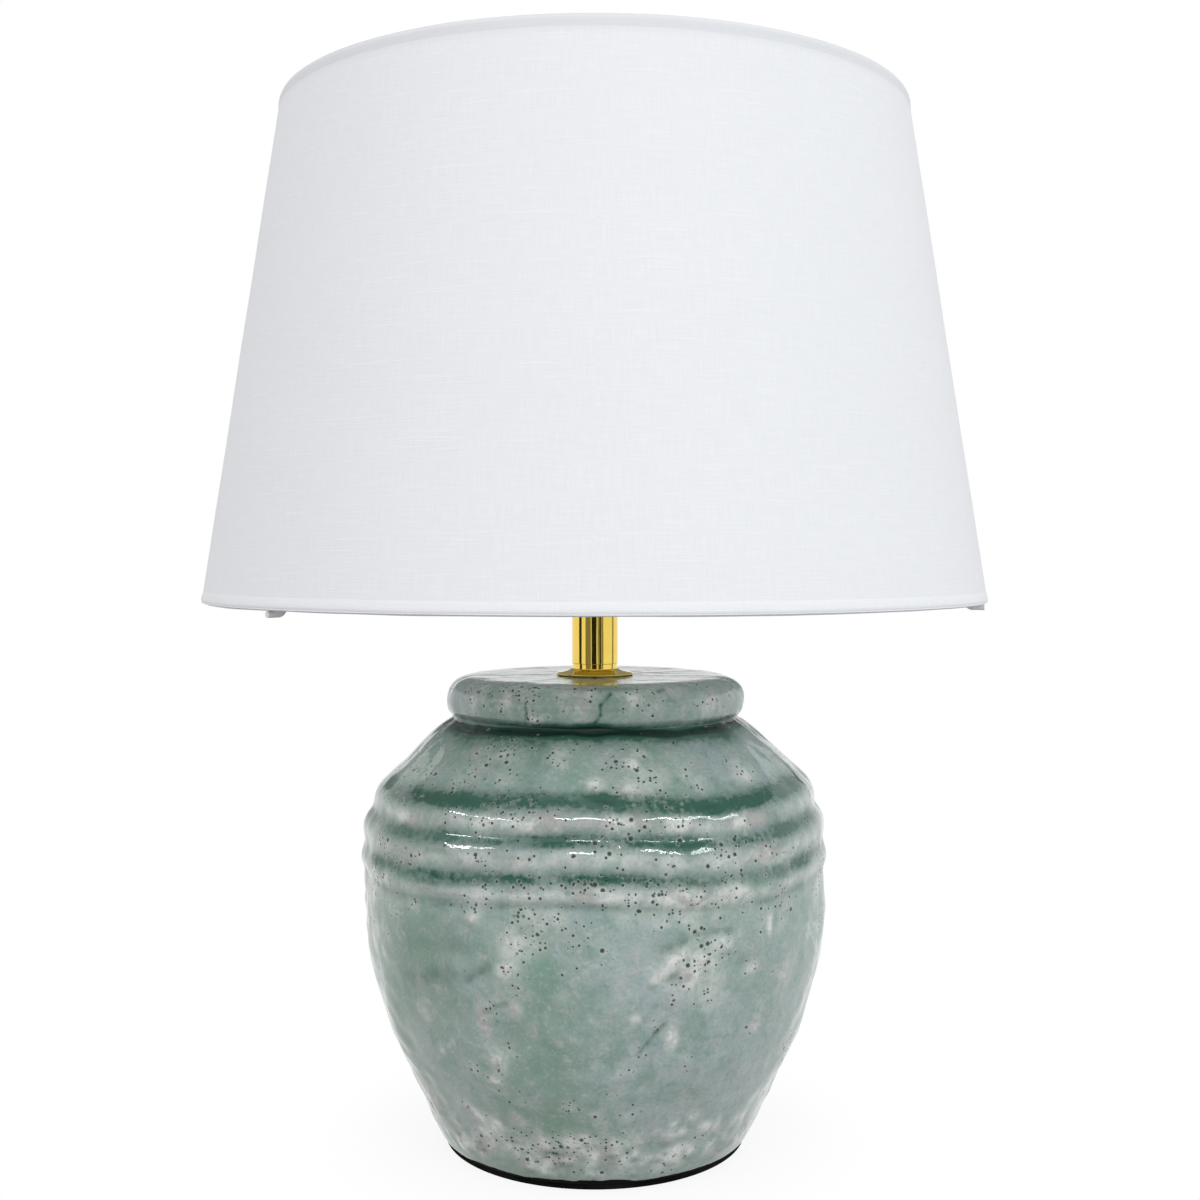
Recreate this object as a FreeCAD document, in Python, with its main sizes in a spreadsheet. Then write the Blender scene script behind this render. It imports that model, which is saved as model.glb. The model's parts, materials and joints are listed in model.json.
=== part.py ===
import FreeCAD, Part
import math
import re

import Sketcher
from FreeCAD import Placement, Rotation, Vector

# Table lamp: a glazed stoneware jar with a brass neck, a lampholder and a tapered linen shade.
# Origin: centre of the felt's underside. +Z up, -Y towards the viewer, cord outlet at +Y.
# Every size is in millimetres, and every angle in degrees.

SIZES = {
    # felt and jar
    "felt_thick": 2.5,
    "felt_radius": 78.0,
    "foot_radius": 80.2,
    "heel_height": 24.0,
    "heel_radius": 89.6,
    "low_wall_height": 48.0,
    "low_wall_radius": 101.0,
    "mid_wall_height": 72.0,
    "mid_wall_radius": 110.4,
    "high_wall_height": 98.0,
    "high_wall_radius": 117.2,
    "belly_height": 124.0,
    "belly_radius": 119.8,
    "band_height": 142.0,
    "band_radius": 119.4,
    "ridge_height": 150.0,
    "ridge_pitch": 16.0,
    "low_ridge_radius": 121.0,
    "low_groove_radius": 118.6,
    "mid_ridge_radius": 118.9,
    "mid_groove_radius": 115.0,
    "top_ridge_radius": 113.6,
    "shoulder_height": 190.0,
    "shoulder_radius": 106.2,
    "slope_height": 204.0,
    "slope_radius": 93.3,
    "neck_height": 217.0,
    "neck_radius": 78.0,
    "undercut_height": 219.8,
    "undercut_radius": 75.0,
    "collar_low_height": 222.0,
    "collar_low_radius": 76.4,
    "collar_height": 229.0,
    "collar_radius": 77.4,
    "collar_high_height": 235.5,
    "collar_high_radius": 75.4,
    "lip_height": 239.7,
    "lip_radius": 70.4,
    "jar_top": 241.0,
    "top_face_radius": 63.0,
    "wall_thick": 7.0,
    "floor_rim_step": 3.0,
    "top_thick": 8.0,
    "cavity_radius": 66.0,
    "access_hole_radius": 30.0,
    "rod_hole_radius": 6.0,
    # cord outlet in the back wall, square to the wall
    "gland_height": 28.0,
    "gland_reach": 91.5,
    "gland_tilt": 24.8,
    "gland_hole_radius": 5.5,
    "gland_bore_radius": 3.5,
    "gland_body_radius": 5.3,
    "gland_flange_radius": 8.5,
    "gland_flange_thick": 3.0,
    "gland_flange_gap": 0.1,
    "gland_flange_bevel": 1.5,
    "gland_tail": 12.5,
    "gland_nut_flats": 15.0,
    "gland_nut_low": 10.6,
    "gland_nut_high": 7.1,
    # clamp stack under the jar's top, and the hollow rod through it
    "rod_radius": 5.0,
    "rod_bore_radius": 3.5,
    "rod_low": 216.0,
    "rod_high": 293.0,
    "thread_gap": 0.05,
    "rubber_thick": 2.0,
    "rubber_radius": 15.0,
    "fender_thick": 1.5,
    "fender_radius": 16.0,
    "lock_thick": 1.0,
    "lock_radius": 9.0,
    "lock_gap_radius": 0.9,
    "lock_teeth": 10,
    "nut_thick": 4.0,
    "nut_flats": 14.0,
    # brass neck
    "gasket_thick": 0.6,
    "gasket_radius": 18.6,
    "flange_rim_radius": 20.0,
    "flange_rim_thick": 1.0,
    "flange_cone_radius": 12.7,
    "flange_cone_height": 1.7,
    "seat_radius": 11.7,
    "seat_height": 2.8,
    "spigot_radius": 11.15,
    "spigot_height": 5.0,
    "tube_radius": 12.0,
    "tube_bore_radius": 11.2,
    "tube_top": 284.0,
    "tube_cap_thick": 2.0,
    # lampholder
    "holder_low": 286.0,
    "holder_neck_radius": 9.0,
    "holder_neck_height": 5.0,
    "holder_radius": 21.0,
    "holder_dome_height": 11.0,
    "holder_dome_fillet": 2.0,
    "holder_step": 1.0,
    "holder_rim": 313.5,
    "holder_wall": 2.2,
    "grub_radius": 1.5,
    "grub_length": 5.0,
    "grub_gap": 0.1,
    "grub_height": 288.5,
    "switch_half_width": 8.0,
    "switch_back": 7.0,
    "switch_front": 9.0,
    "switch_low": 295.5,
    "switch_high": 308.0,
    "switch_axis": 302.0,
    "shaft_radius": 3.0,
    "shaft_gap": 0.08,
    "shaft_start": 5.0,
    "shaft_end_gap": 0.5,
    "shaft_end": 36.0,
    "knob_start": 24.5,
    "knob_end": 40.0,
    "knob_land": 4.0,
    "knob_fillet": 1.0,
    "knob_radius": 8.5,
    "knob_tip_radius": 7.6,
    "knob_groove_radius": 0.8,
    "knob_groove_offset": 0.2,
    "knob_grooves": 14,
    "block_radius": 17.5,
    "block_neck_radius": 14.2,
    "block_neck_height": 3.9,
    "block_gap": 0.2,
    "terminal_reach": 10.5,
    "terminal_radius": 2.2,
    "terminal_depth": 3.0,
    "contact_length": 9.0,
    "contact_width": 5.0,
    "contact_thick": 0.6,
    "contact_rise": 2.4,
    "screw_shell_radius": 14.0,
    "screw_shell_wall": 0.55,
    "screw_shell_top": 343.0,
    "shoulder_flange_radius": 26.0,
    "shoulder_flange_thick": 3.5,
    "skirt_radius": 19.8,
    "skirt_bore_radius": 14.6,
    "skirt_top": 345.6,
    "skirt_fillet": 0.8,
    # shade carrier and its retaining ring
    "seat_gap": 0.05,
    "fitter_thick": 1.5,
    "fitter_bore_radius": 20.5,
    "fitter_radius": 33.0,
    "retainer_gap": 0.1,
    "retainer_thick": 8.0,
    "retainer_bore_radius": 20.15,
    "retainer_radius": 27.0,
    "retainer_fillet": 1.0,
    "retainer_groove_radius": 0.9,
    "retainer_groove_offset": 0.3,
    "retainer_grooves": 30,
    "arm_radius": 1.5,
    "arm_start": 27.5,
    "arm_knee": 60.0,
    "arm_knee_bend": 30.0,
    "arm_drop": 186.5,
    "arm_drop_height": 284.5,
    "arm_drop_bend": 5.0,
    "arm_hook": 191.0,
    "arm_hook_bend": 3.0,
    "arm_end": 198.0,
    "arm_count": 3,
    "arm_heading": 104.0,
    # shade
    "shade_low": 280.0,
    "shade_height": 250.0,
    "shade_radius": 200.0,
    "shade_taper": 0.16,
    "hem_thick": 0.5,
    "hem_height": 6.5,
    "cover_thick": 0.5,
    "liner_thick": 1.0,
    "layer_gap": 0.04,
    "layer_start": 0.6,
    "wire_radius": 1.75,
    "wire_rise": 2.35,
    # LED lamp
    "lamp_low": 320.6,
    "contact_radius": 4.8,
    "contact_height": 1.4,
    "contact_fillet": 0.8,
    "insulator_low_radius": 5.2,
    "insulator_high_radius": 11.6,
    "insulator_height": 3.2,
    "cap_radius": 13.1,
    "cap_wall": 0.4,
    "cap_lip": 1.0,
    "cap_lip_rise": 0.6,
    "cap_taper_rise": 1.6,
    "cap_top": 346.0,
    "housing_low_radius": 14.3,
    "housing_mid_radius": 20.5,
    "housing_mid_height": 358.0,
    "housing_radius": 28.4,
    "housing_high": 373.0,
    "housing_wall": 1.6,
    "housing_floor": 1.5,
    "board_radius": 24.0,
    "board_thick": 1.6,
    "board_drop": 1.0,
    "driver_half_width": 9.5,
    "driver_thick": 1.6,
    "driver_low": 330.0,
    "driver_high": 366.0,
    "dome_radius": 30.0,
    "dome_centre": 398.5,
    "dome_wall": 1.2,
    "dome_bulge": 0.45,
    "dome_neck_radius": 28.3,
}

doc = FreeCAD.newDocument("ginger_jar_lamp")
sheet = doc.addObject("Spreadsheet::Sheet", "Sizes")
for row, (name, number) in enumerate(SIZES.items(), start=1):
    sheet.set(f"A{row}", name)
    sheet.set(f"B{row}", str(number))
    sheet.setAlias(f"B{row}", name)
doc.recompute()


def size(name):
    """A driving size, read from the sheet."""
    return float(sheet.get(name))


def amount(formula):
    """The value of a sum of products, such as 'jar_top + gasket_thick' or 'nut_flats*0.5'."""
    total = 0.0
    sign = 1
    for term in formula.split():
        if term in "+-":
            sign = 1 if term == "+" else -1
        else:
            factors = [float(f) if f[0].isdigit() else size(f) for f in term.split("*")]
            total += sign * math.prod(factors)
    return total


def bound(formula):
    """The same formula as an expression that reads the sheet."""
    return re.sub(r"[a-z_]+", lambda word: "Sizes." + word.group(), formula)


def origin_plane(body, role):
    return next(p for p in body.Origin.OriginFeatures if p.Role == role)


def draw(body, role, name, outline, holes=(), height="0"):
    """A sketch on one of the body's own planes, every corner and radius bound to the sheet."""
    sketch = body.newObject("Sketcher::SketchObject", name)
    sketch.AttachmentSupport = (origin_plane(body, role), [""])
    sketch.MapMode = "FlatFace"
    sketch.setExpression(".AttachmentOffset.Base.z", bound(height))
    corners = [Vector(amount(x), amount(y), 0) for x, y in outline]
    for start, end in zip(corners, corners[1:] + corners[:1]):
        sketch.addGeometry(Part.LineSegment(start, end))
    for side in range(len(corners)):
        following = (side + 1) % len(corners)
        sketch.addConstraint(Sketcher.Constraint("Coincident", side, 2, following, 1))
    for side, place in enumerate(outline):
        pin(sketch, side, 1, place)
    for x, y, radius in holes:
        centre = Vector(amount(x), amount(y), 0)
        circle = sketch.addGeometry(Part.Circle(centre, Vector(0, 0, 1), amount(radius)))
        pin(sketch, circle, 3, (x, y))
        ring = sketch.addConstraint(Sketcher.Constraint("Radius", circle, amount(radius)))
        sketch.setExpression(f"Constraints[{ring}]", bound(radius))
    return sketch


def pin(sketch, geometry, point, place):
    """Hold a point of the sketch at a place given by two formulas."""
    for way, formula in zip(("DistanceX", "DistanceY"), place):
        rule = Sketcher.Constraint(way, -1, 1, geometry, point, amount(formula))
        index = sketch.addConstraint(rule)
        sketch.setExpression(f"Constraints[{index}]", bound(formula))


def new_body(label):
    body = doc.addObject("PartDesign::Body", label)
    body.Label = label
    return body


def turned(label, outline):
    """A piece turned about its own Z axis from an outline of (radius, height) formulas."""
    body = new_body(label)
    sketch = draw(body, "XZ_Plane", label + "_outline", outline)
    solid = body.newObject("PartDesign::Revolution", label + "_turning")
    solid.Profile = sketch
    solid.ReferenceAxis = (sketch, ["V_Axis"])
    solid.Angle = 360
    doc.recompute()
    return body


def padded(label, outline, low, high, holes=()):
    """A piece of even section between two heights."""
    body = new_body(label)
    sketch = draw(body, "XY_Plane", label + "_section", outline, holes, low)
    solid = body.newObject("PartDesign::Pad", label + "_pad")
    solid.Profile = sketch
    solid.setExpression("Length", bound(high) + " - (" + bound(low) + ")")
    doc.recompute()
    return body


def drilled(body, role, holes, name, low="0", depth=None):
    """Cut round holes square to a plane, right through or to a depth from a height."""
    before = body.Shape.Volume
    sketch = draw(body, role, body.Label + "_" + name, [], holes, low)
    cut = body.newObject("PartDesign::Pocket", body.Label + "_" + name + "_cut")
    cut.Profile = sketch
    if depth is None:
        cut.Type = "ThroughAll"
        cut.Midplane = True
    else:
        cut.setExpression("Length", bound(depth))
    doc.recompute()
    if body.Shape.Volume >= before:
        raise RuntimeError(f"{body.Label}: {name} cuts nothing")
    return cut


def repeated(body, feature, count):
    """Repeat a feature round the body's Z axis."""
    pattern = body.newObject("PartDesign::PolarPattern", feature.Name + "_pattern")
    pattern.Originals = [feature]
    pattern.Axis = (feature.Profile[0], ["N_Axis"])
    pattern.Angle = 360
    pattern.setExpression("Occurrences", bound(count))
    body.Tip = pattern
    doc.recompute()


def rounded(body, radius, *rims):
    """Round the circular edges that lie at the given (radius, height) formulas."""
    base = body.Tip
    names = []
    for rim in rims:
        wanted = Vector(amount(rim[0]), amount(rim[1]), 0)
        for number, edge in enumerate(base.Shape.Edges, start=1):
            if not hasattr(edge.Curve, "Radius"):
                continue
            found = Vector(edge.Curve.Radius, edge.Curve.Center.z, 0)
            if found.distanceToPoint(wanted) < 0.01:
                names.append(f"Edge{number}")
    fillet = body.newObject("PartDesign::Fillet", body.Label + "_round")
    fillet.Base = (base, names)
    fillet.setExpression("Radius", bound(radius))
    doc.recompute()
    return body


def hexagon(flats):
    """Corners of a hexagon by its width across flats."""
    spots = []
    for corner in range(6):
        angle = math.radians(60 * corner)
        spot = []
        for part in (math.cos(angle), math.sin(angle)):
            factor = round(part / math.sqrt(3), 6)
            sign = "- " if factor < 0 else ""
            spot.append(f"{sign}{flats}*{abs(factor)}")
        spots.append(tuple(spot))
    return spots


def ring_outline(inner, outer, low, high):
    return [(inner, low), (outer, low), (outer, high), (inner, high)]


def group(label, members):
    """Several equal solids that share one node."""
    made = doc.addObject("Part::Compound", label)
    made.Label = label
    made.Links = members
    return made


# ---------------------------------------------------------------- jar

def make_jar():
    """Thrown jar: wall, throwing ridges, undercut neck, rolled collar and closed flat top."""
    def spot(radius, height):
        return Vector(amount(radius), 0, amount(height))

    wall = [
        ("foot_radius", "felt_thick"),
        ("heel_radius", "heel_height"),
        ("low_wall_radius", "low_wall_height"),
        ("mid_wall_radius", "mid_wall_height"),
        ("high_wall_radius", "high_wall_height"),
        ("belly_radius", "belly_height"),
        ("band_radius", "band_height"),
    ]
    ridges = [
        ("low_ridge_radius", "ridge_height"),
        ("low_groove_radius", "ridge_height + ridge_pitch*0.5"),
        ("mid_ridge_radius", "ridge_height + ridge_pitch"),
        ("mid_groove_radius", "ridge_height + ridge_pitch*1.5"),
        ("top_ridge_radius", "ridge_height + ridge_pitch*2"),
    ]
    slope = [
        ("shoulder_radius", "shoulder_height"),
        ("slope_radius", "slope_height"),
        ("neck_radius", "neck_height"),
    ]
    outside = Part.BSplineCurve()
    outside.interpolate([spot(*place) for place in wall + ridges + slope])
    undercut = Part.Arc(
        spot("neck_radius", "neck_height"),
        spot("undercut_radius", "undercut_height"),
        spot("collar_low_radius", "collar_low_height"),
    )
    collar = Part.Arc(
        spot("collar_low_radius", "collar_low_height"),
        spot("collar_radius", "collar_height"),
        spot("collar_high_radius", "collar_high_height"),
    )
    lip = Part.Arc(
        spot("collar_high_radius", "collar_high_height"),
        spot("lip_radius", "lip_height"),
        spot("top_face_radius", "jar_top"),
    )
    foot = spot("foot_radius", "felt_thick")
    top = spot("top_face_radius", "jar_top")
    axis_low = spot("0", "felt_thick")
    axis_high = spot("0", "jar_top")
    shell = Part.Wire([
        Part.makeLine(axis_low, foot),
        outside.toShape(),
        undercut.toShape(),
        collar.toShape(),
        lip.toShape(),
        Part.makeLine(top, axis_high),
        Part.makeLine(axis_high, axis_low),
    ])
    smooth = [wall[1], wall[2], wall[3], wall[4], wall[5], ridges[2], slope[0], slope[1]]
    inner_points = [spot(radius + " - wall_thick", height) for radius, height in smooth]
    floor = amount("felt_thick + wall_thick")
    floor_rim = Vector(amount("foot_radius - wall_thick + floor_rim_step"), 0, floor)
    ceiling = amount("jar_top - top_thick")
    ceiling_rim = Vector(amount("cavity_radius"), 0, ceiling)
    inside = Part.BSplineCurve()
    inside.interpolate([floor_rim] + inner_points + [ceiling_rim])
    cavity = Part.Wire([
        Part.makeLine(Vector(0, 0, floor), floor_rim),
        inside.toShape(),
        Part.makeLine(ceiling_rim, Vector(0, 0, ceiling)),
        Part.makeLine(Vector(0, 0, ceiling), Vector(0, 0, floor)),
    ])
    solids = []
    for wire in (shell, cavity):
        solids.append(Part.Face(wire).revolve(Vector(0, 0, 0), Vector(0, 0, 1), 360))
    thrown = doc.addObject("Part::Feature", "thrown_jar")
    thrown.Shape = solids[0].cut(solids[1])
    holes = []
    for name, radius, low, length in (
        ("access_hole", "access_hole_radius", "0", "wall_thick*2"),
        ("rod_hole", "rod_hole_radius", "jar_top - top_thick*2", "top_thick*3"),
        ("cord_hole", "gland_hole_radius", "0", "wall_thick*4"),
    ):
        hole = doc.addObject("Part::Cylinder", name)
        hole.setExpression("Radius", bound(radius))
        hole.setExpression("Height", bound(length))
        hole.setExpression("Placement.Base.z", bound(low))
        holes.append(hole)
    outlet = gland_placement()
    holes[2].setExpression("Placement.Base.z", None)
    holes[2].Placement = outlet * Placement(Vector(0, 0, -amount("wall_thick*2")), Rotation())
    tools = doc.addObject("Part::MultiFuse", "jar_holes")
    tools.Shapes = holes
    jar = doc.addObject("Part::Cut", "jar")
    jar.Label = "jar"
    jar.Base = thrown
    jar.Tool = tools
    return jar


def gland_placement():
    """On the back wall's outer face, local +Z pointing straight out of the wall."""
    turn = Rotation(Vector(1, 0, 0), -90 - size("gland_tilt"))
    return Placement(Vector(0, size("gland_reach"), size("gland_height")), turn)


def make_cord_outlet():
    gland = turned("cord_gland", [
        ("gland_bore_radius", "- gland_tail"),
        ("gland_body_radius", "- gland_tail"),
        ("gland_body_radius", "gland_flange_gap"),
        ("gland_flange_radius", "gland_flange_gap"),
        ("gland_flange_radius", "gland_flange_thick*0.5"),
        ("gland_flange_radius - gland_flange_bevel", "gland_flange_thick"),
        ("gland_bore_radius", "gland_flange_thick"),
    ])
    nut = padded(
        "gland_nut",
        hexagon("gland_nut_flats"),
        "- gland_nut_low",
        "- gland_nut_high",
        [("0", "0", "gland_body_radius + thread_gap")],
    )
    for piece in (gland, nut):
        piece.Placement = gland_placement()
    return [gland, nut]


# ---------------------------------------------------------------- clamp stack and neck

def make_clamp_stack():
    """From the jar's top downwards: rubber washer, wide washer, toothed washer, nut."""
    felt = turned("felt_pad", ring_outline("0", "felt_radius", "0", "felt_thick"))
    pieces = [felt]
    level = "jar_top - top_thick"
    inner = "rod_radius + thread_gap"
    for label, radius, thick in (
        ("rubber_washer", "rubber_radius", "rubber_thick"),
        ("fender_washer", "fender_radius", "fender_thick"),
        ("lock_washer", "lock_radius", "lock_thick"),
    ):
        low = f"{level} - {thick}"
        washer = turned(label, ring_outline(inner, radius, low, level))
        pieces.append(washer)
        level = low
    gap = drilled(pieces[-1], "XY_Plane", [("lock_radius", "0", "lock_gap_radius")], "gap")
    repeated(pieces[-1], gap, "lock_teeth")
    nut_low = f"{level} - nut_thick"
    hole = [("0", "0", inner)]
    pieces.append(padded("hex_nut", hexagon("nut_flats"), nut_low, level, hole))
    rod = ring_outline("rod_bore_radius", "rod_radius", "rod_low", "rod_high")
    pieces.append(turned("threaded_rod", rod))
    return pieces


def make_neck():
    inner = "rod_radius + thread_gap"
    base = "jar_top + gasket_thick"
    rim = base + " + flange_rim_thick"
    cone = rim + " + flange_cone_height"
    seat = cone + " + seat_height"
    gasket = turned("flange_gasket", ring_outline(inner, "gasket_radius", "jar_top", base))
    flange = turned("neck_flange", [
        (inner, base),
        ("flange_rim_radius", base),
        ("flange_rim_radius", rim),
        ("flange_cone_radius", cone),
        ("seat_radius", cone),
        ("seat_radius", seat),
        ("spigot_radius", seat),
        ("spigot_radius", seat + " + spigot_height"),
        (inner, seat + " + spigot_height"),
    ])
    tube = turned("neck_tube", ring_outline("tube_bore_radius", "tube_radius", seat, "tube_top"))
    tube_cap = turned("neck_tube_cap", [
        (inner, "tube_top - spigot_height"),
        ("spigot_radius", "tube_top - spigot_height"),
        ("spigot_radius", "tube_top"),
        ("tube_radius", "tube_top"),
        ("tube_radius", "tube_top + tube_cap_thick"),
        (inner, "tube_top + tube_cap_thick"),
    ])
    return [gasket, flange, tube, tube_cap]


# ---------------------------------------------------------------- lampholder

def make_holder_cap():
    """Moulded lower half: threaded entry on the rod, dome and a straight rim."""
    neck = "holder_low + holder_neck_height"
    dome = "holder_low + holder_dome_height"
    cap = turned("holder_cap", [
        ("rod_radius + thread_gap", "holder_low"),
        ("holder_neck_radius", "holder_low"),
        ("holder_neck_radius", neck),
        ("holder_radius", dome),
        ("holder_radius", "holder_rim"),
        ("holder_radius - holder_wall", "holder_rim"),
        ("holder_radius - holder_wall", dome + " + holder_step"),
        ("holder_neck_radius", neck + " + holder_wall"),
        ("rod_radius + thread_gap", neck + " + holder_wall"),
    ])
    rounded(cap, "holder_dome_fillet", ("holder_radius", dome))
    side = [("0", "grub_height", "grub_radius")]
    drilled(cap, "XZ_Plane", side, "grub_hole", "- rod_radius", "holder_radius")
    shaft_hole = [("0", "switch_axis", "shaft_radius + shaft_gap")]
    start = "holder_radius + holder_step"
    drilled(cap, "YZ_Plane", shaft_hole, "shaft_hole", start, "holder_wall*2")
    return cap


def make_grub_screw():
    grub = turned("grub_screw", ring_outline("0", "grub_radius - thread_gap", "0", "grub_length"))
    turn = Rotation(Vector(1, 0, 0), -90)
    grub.Placement = Placement(Vector(0, amount("rod_radius + grub_gap"), size("grub_height")), turn)
    return grub


def make_switch():
    """Turn switch: fixed body, and the shaft and ribbed knob that turn about +X."""
    outline = [
        ("- switch_back", "- switch_half_width"),
        ("switch_front", "- switch_half_width"),
        ("switch_front", "switch_half_width"),
        ("- switch_back", "switch_half_width"),
    ]
    body = padded("switch_body", outline, "switch_low", "switch_high")
    bore = [("0", "switch_axis", "shaft_radius + shaft_gap")]
    depth = "switch_front - shaft_start + shaft_end_gap"
    drilled(body, "YZ_Plane", bore, "bore", "switch_front", depth)
    shaft = turned("switch_shaft", ring_outline("0", "shaft_radius", "shaft_start", "shaft_end"))
    knob = turned("switch_knob", [
        ("shaft_radius", "knob_start"),
        ("knob_radius", "knob_start"),
        ("knob_radius", "knob_start + knob_land"),
        ("knob_tip_radius", "knob_end"),
        ("0", "knob_end"),
        ("0", "shaft_end"),
        ("shaft_radius", "shaft_end"),
    ])
    rounded(knob, "knob_fillet", ("knob_tip_radius", "knob_end"))
    spot = [("knob_radius + knob_groove_offset", "0", "knob_groove_radius")]
    groove = drilled(knob, "XY_Plane", spot, "groove")
    repeated(knob, groove, "knob_grooves")
    for piece in (shaft, knob):
        turn = Rotation(Vector(0, 1, 0), 90)
        piece.Placement = Placement(Vector(0, 0, size("switch_axis")), turn)
    return [body, shaft, knob]


def make_live_parts():
    """Terminal block, its two screws, the sprung centre contact and the screw shell."""
    face = "holder_rim + block_neck_height"
    block = turned("terminal_block", [
        ("0", "switch_high"),
        ("block_radius", "switch_high"),
        ("block_radius", "holder_rim - block_gap"),
        ("block_neck_radius", "holder_rim - block_gap"),
        ("block_neck_radius", face),
        ("0", face),
    ])
    seats = []
    screws = []
    for number, sign in enumerate(("", "- ")):
        y = sign + "terminal_reach"
        seats.append(("0", y, "terminal_radius"))
        screw = doc.addObject("Part::Cylinder", f"terminal_screw_{number}")
        screw.setExpression("Radius", bound("terminal_radius - thread_gap"))
        screw.setExpression("Height", bound("terminal_depth"))
        screw.setExpression("Placement.Base.y", bound(y))
        screw.setExpression("Placement.Base.z", bound(face + " - terminal_depth"))
        screws.append(screw)
    drilled(block, "XY_Plane", seats, "seats", face, "terminal_depth")
    half_long = "contact_length*0.5"
    half_wide = "contact_width*0.5"
    contact = new_body("centre_contact")
    strip = [
        ("- " + half_long, face),
        (half_long, face),
        (half_long, face + " + contact_thick"),
        ("- " + half_long + " + contact_thick", face + " + contact_thick"),
        ("- contact_thick", face + " + contact_rise"),
        (half_long + " - contact_thick", face + " + contact_rise"),
        (half_long + " - contact_thick", face + " + contact_rise + contact_thick"),
        ("- contact_thick", face + " + contact_rise + contact_thick"),
        ("- " + half_long, face + " + contact_thick*2"),
    ]
    sketch = draw(contact, "XZ_Plane", "contact_strip", strip)
    bend = contact.newObject("PartDesign::Pad", "contact_pad")
    bend.Profile = sketch
    bend.Midplane = True
    bend.setExpression("Length", bound("contact_width"))
    doc.recompute()
    shell = turned("screw_shell", ring_outline(
        "screw_shell_radius - screw_shell_wall",
        "screw_shell_radius",
        face + " + layer_gap",
        "screw_shell_top",
    ))
    return [block, group("terminal_screws", screws), contact, shell]


def make_holder_shell():
    """Upper half: shoulder that carries the shade, and the threaded skirt round the lamp."""
    shoulder = "holder_rim + shoulder_flange_thick"
    shell = turned("holder_shell", [
        ("skirt_bore_radius", "holder_rim"),
        ("shoulder_flange_radius", "holder_rim"),
        ("shoulder_flange_radius", shoulder),
        ("skirt_radius", shoulder),
        ("skirt_radius", "skirt_top"),
        ("skirt_bore_radius", "skirt_top"),
    ])
    return rounded(shell, "skirt_fillet", ("skirt_radius", "skirt_top"))


# ---------------------------------------------------------------- shade

def make_retainer():
    low = "holder_rim + shoulder_flange_thick + seat_gap + fitter_thick + retainer_gap"
    high = low + " + retainer_thick"
    outline = ring_outline("retainer_bore_radius", "retainer_radius", low, high)
    ring = turned("shade_ring", outline)
    rounded(ring, "retainer_fillet", ("retainer_radius", high))
    spot = [("retainer_radius + retainer_groove_offset", "0", "retainer_groove_radius")]
    groove = drilled(ring, "XY_Plane", spot, "groove")
    repeated(ring, groove, "retainer_grooves")
    return ring


def rounded_path(corners, bends):
    """Straight runs joined by tangent arcs; one bend radius for each inner corner."""
    edges = []
    start = corners[0]
    for before, corner, after, bend in zip(corners, corners[1:], corners[2:], bends):
        back = (before - corner).normalize()
        ahead = (after - corner).normalize()
        half_angle = back.getAngle(ahead) / 2
        reach = bend / math.tan(half_angle)
        middle = (back + ahead).normalize()
        centre = corner + middle * (bend / math.sin(half_angle))
        arc_start = corner + back * reach
        arc_end = corner + ahead * reach
        edges.append(Part.makeLine(start, arc_start))
        edges.append(Part.Arc(arc_start, centre - middle * bend, arc_end).toShape())
        start = arc_end
    edges.append(Part.makeLine(start, corners[-1]))
    return Part.Wire(edges)


def make_carrier():
    """Fitter ring on the lampholder's shoulder, and three wires out to the bottom ring."""
    low = "holder_rim + shoulder_flange_thick + seat_gap"
    ring_sizes = ("fitter_bore_radius", "fitter_radius", low, low + " + fitter_thick")
    fitter = turned("fitter_ring", ring_outline(*ring_sizes))
    level = amount(low) - size("arm_radius")
    hook_level = amount("shade_low - arm_radius - layer_gap")
    corners = [
        Vector(size("arm_start"), 0, level),
        Vector(size("arm_knee"), 0, level),
        Vector(size("arm_drop"), 0, size("arm_drop_height")),
        Vector(size("arm_hook"), 0, hook_level),
        Vector(size("arm_end"), 0, hook_level),
    ]
    bends = [size("arm_knee_bend"), size("arm_drop_bend"), size("arm_hook_bend")]
    path = rounded_path(corners, bends)
    section = Part.Wire(Part.makeCircle(size("arm_radius"), corners[0], Vector(1, 0, 0)))
    wire = path.makePipeShell([section], True, False)
    arms = []
    for number in range(int(size("arm_count"))):
        arm = doc.addObject("Part::Feature", f"carrier_arm_{number}")
        arm.Shape = wire
        heading = size("arm_heading") + 360 * number / size("arm_count")
        arm.Placement = Placement(Vector(0, 0, 0), Rotation(Vector(0, 0, 1), heading))
        arms.append(arm)
    return [fitter, group("carrier_arms", arms)]


def shade_face(rise):
    """Formula for the shade's outer radius at a rise above its lower edge."""
    terms = [f"{sign} {term}*shade_taper" for sign, term in rise]
    return "shade_radius " + " ".join(terms)


LOW_END = [("-", "layer_start")]
HIGH_END = [("-", "shade_height"), ("+", "layer_start")]
HEM = {
    "bottom_hem": ([], "shade_low", "+", "-"),
    "top_hem": ([("-", "shade_height")], "shade_low + shade_height", "-", "+"),
}
WIRES = {
    "bottom_ring": ([("-", "wire_rise")], "shade_low + wire_rise"),
    "top_ring": (
        [("-", "shade_height"), ("+", "wire_rise")],
        "shade_low + shade_height - wire_rise",
    ),
}


def shade_layer(label, inner, outer):
    """One of the shade's conical layers, between two depths under its face."""
    low = "shade_low + layer_start"
    high = "shade_low + shade_height - layer_start"
    return turned(label, [
        (shade_face(LOW_END) + inner, low),
        (shade_face(LOW_END) + outer, low),
        (shade_face(HIGH_END) + outer, high),
        (shade_face(HIGH_END) + inner, high),
    ])


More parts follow.
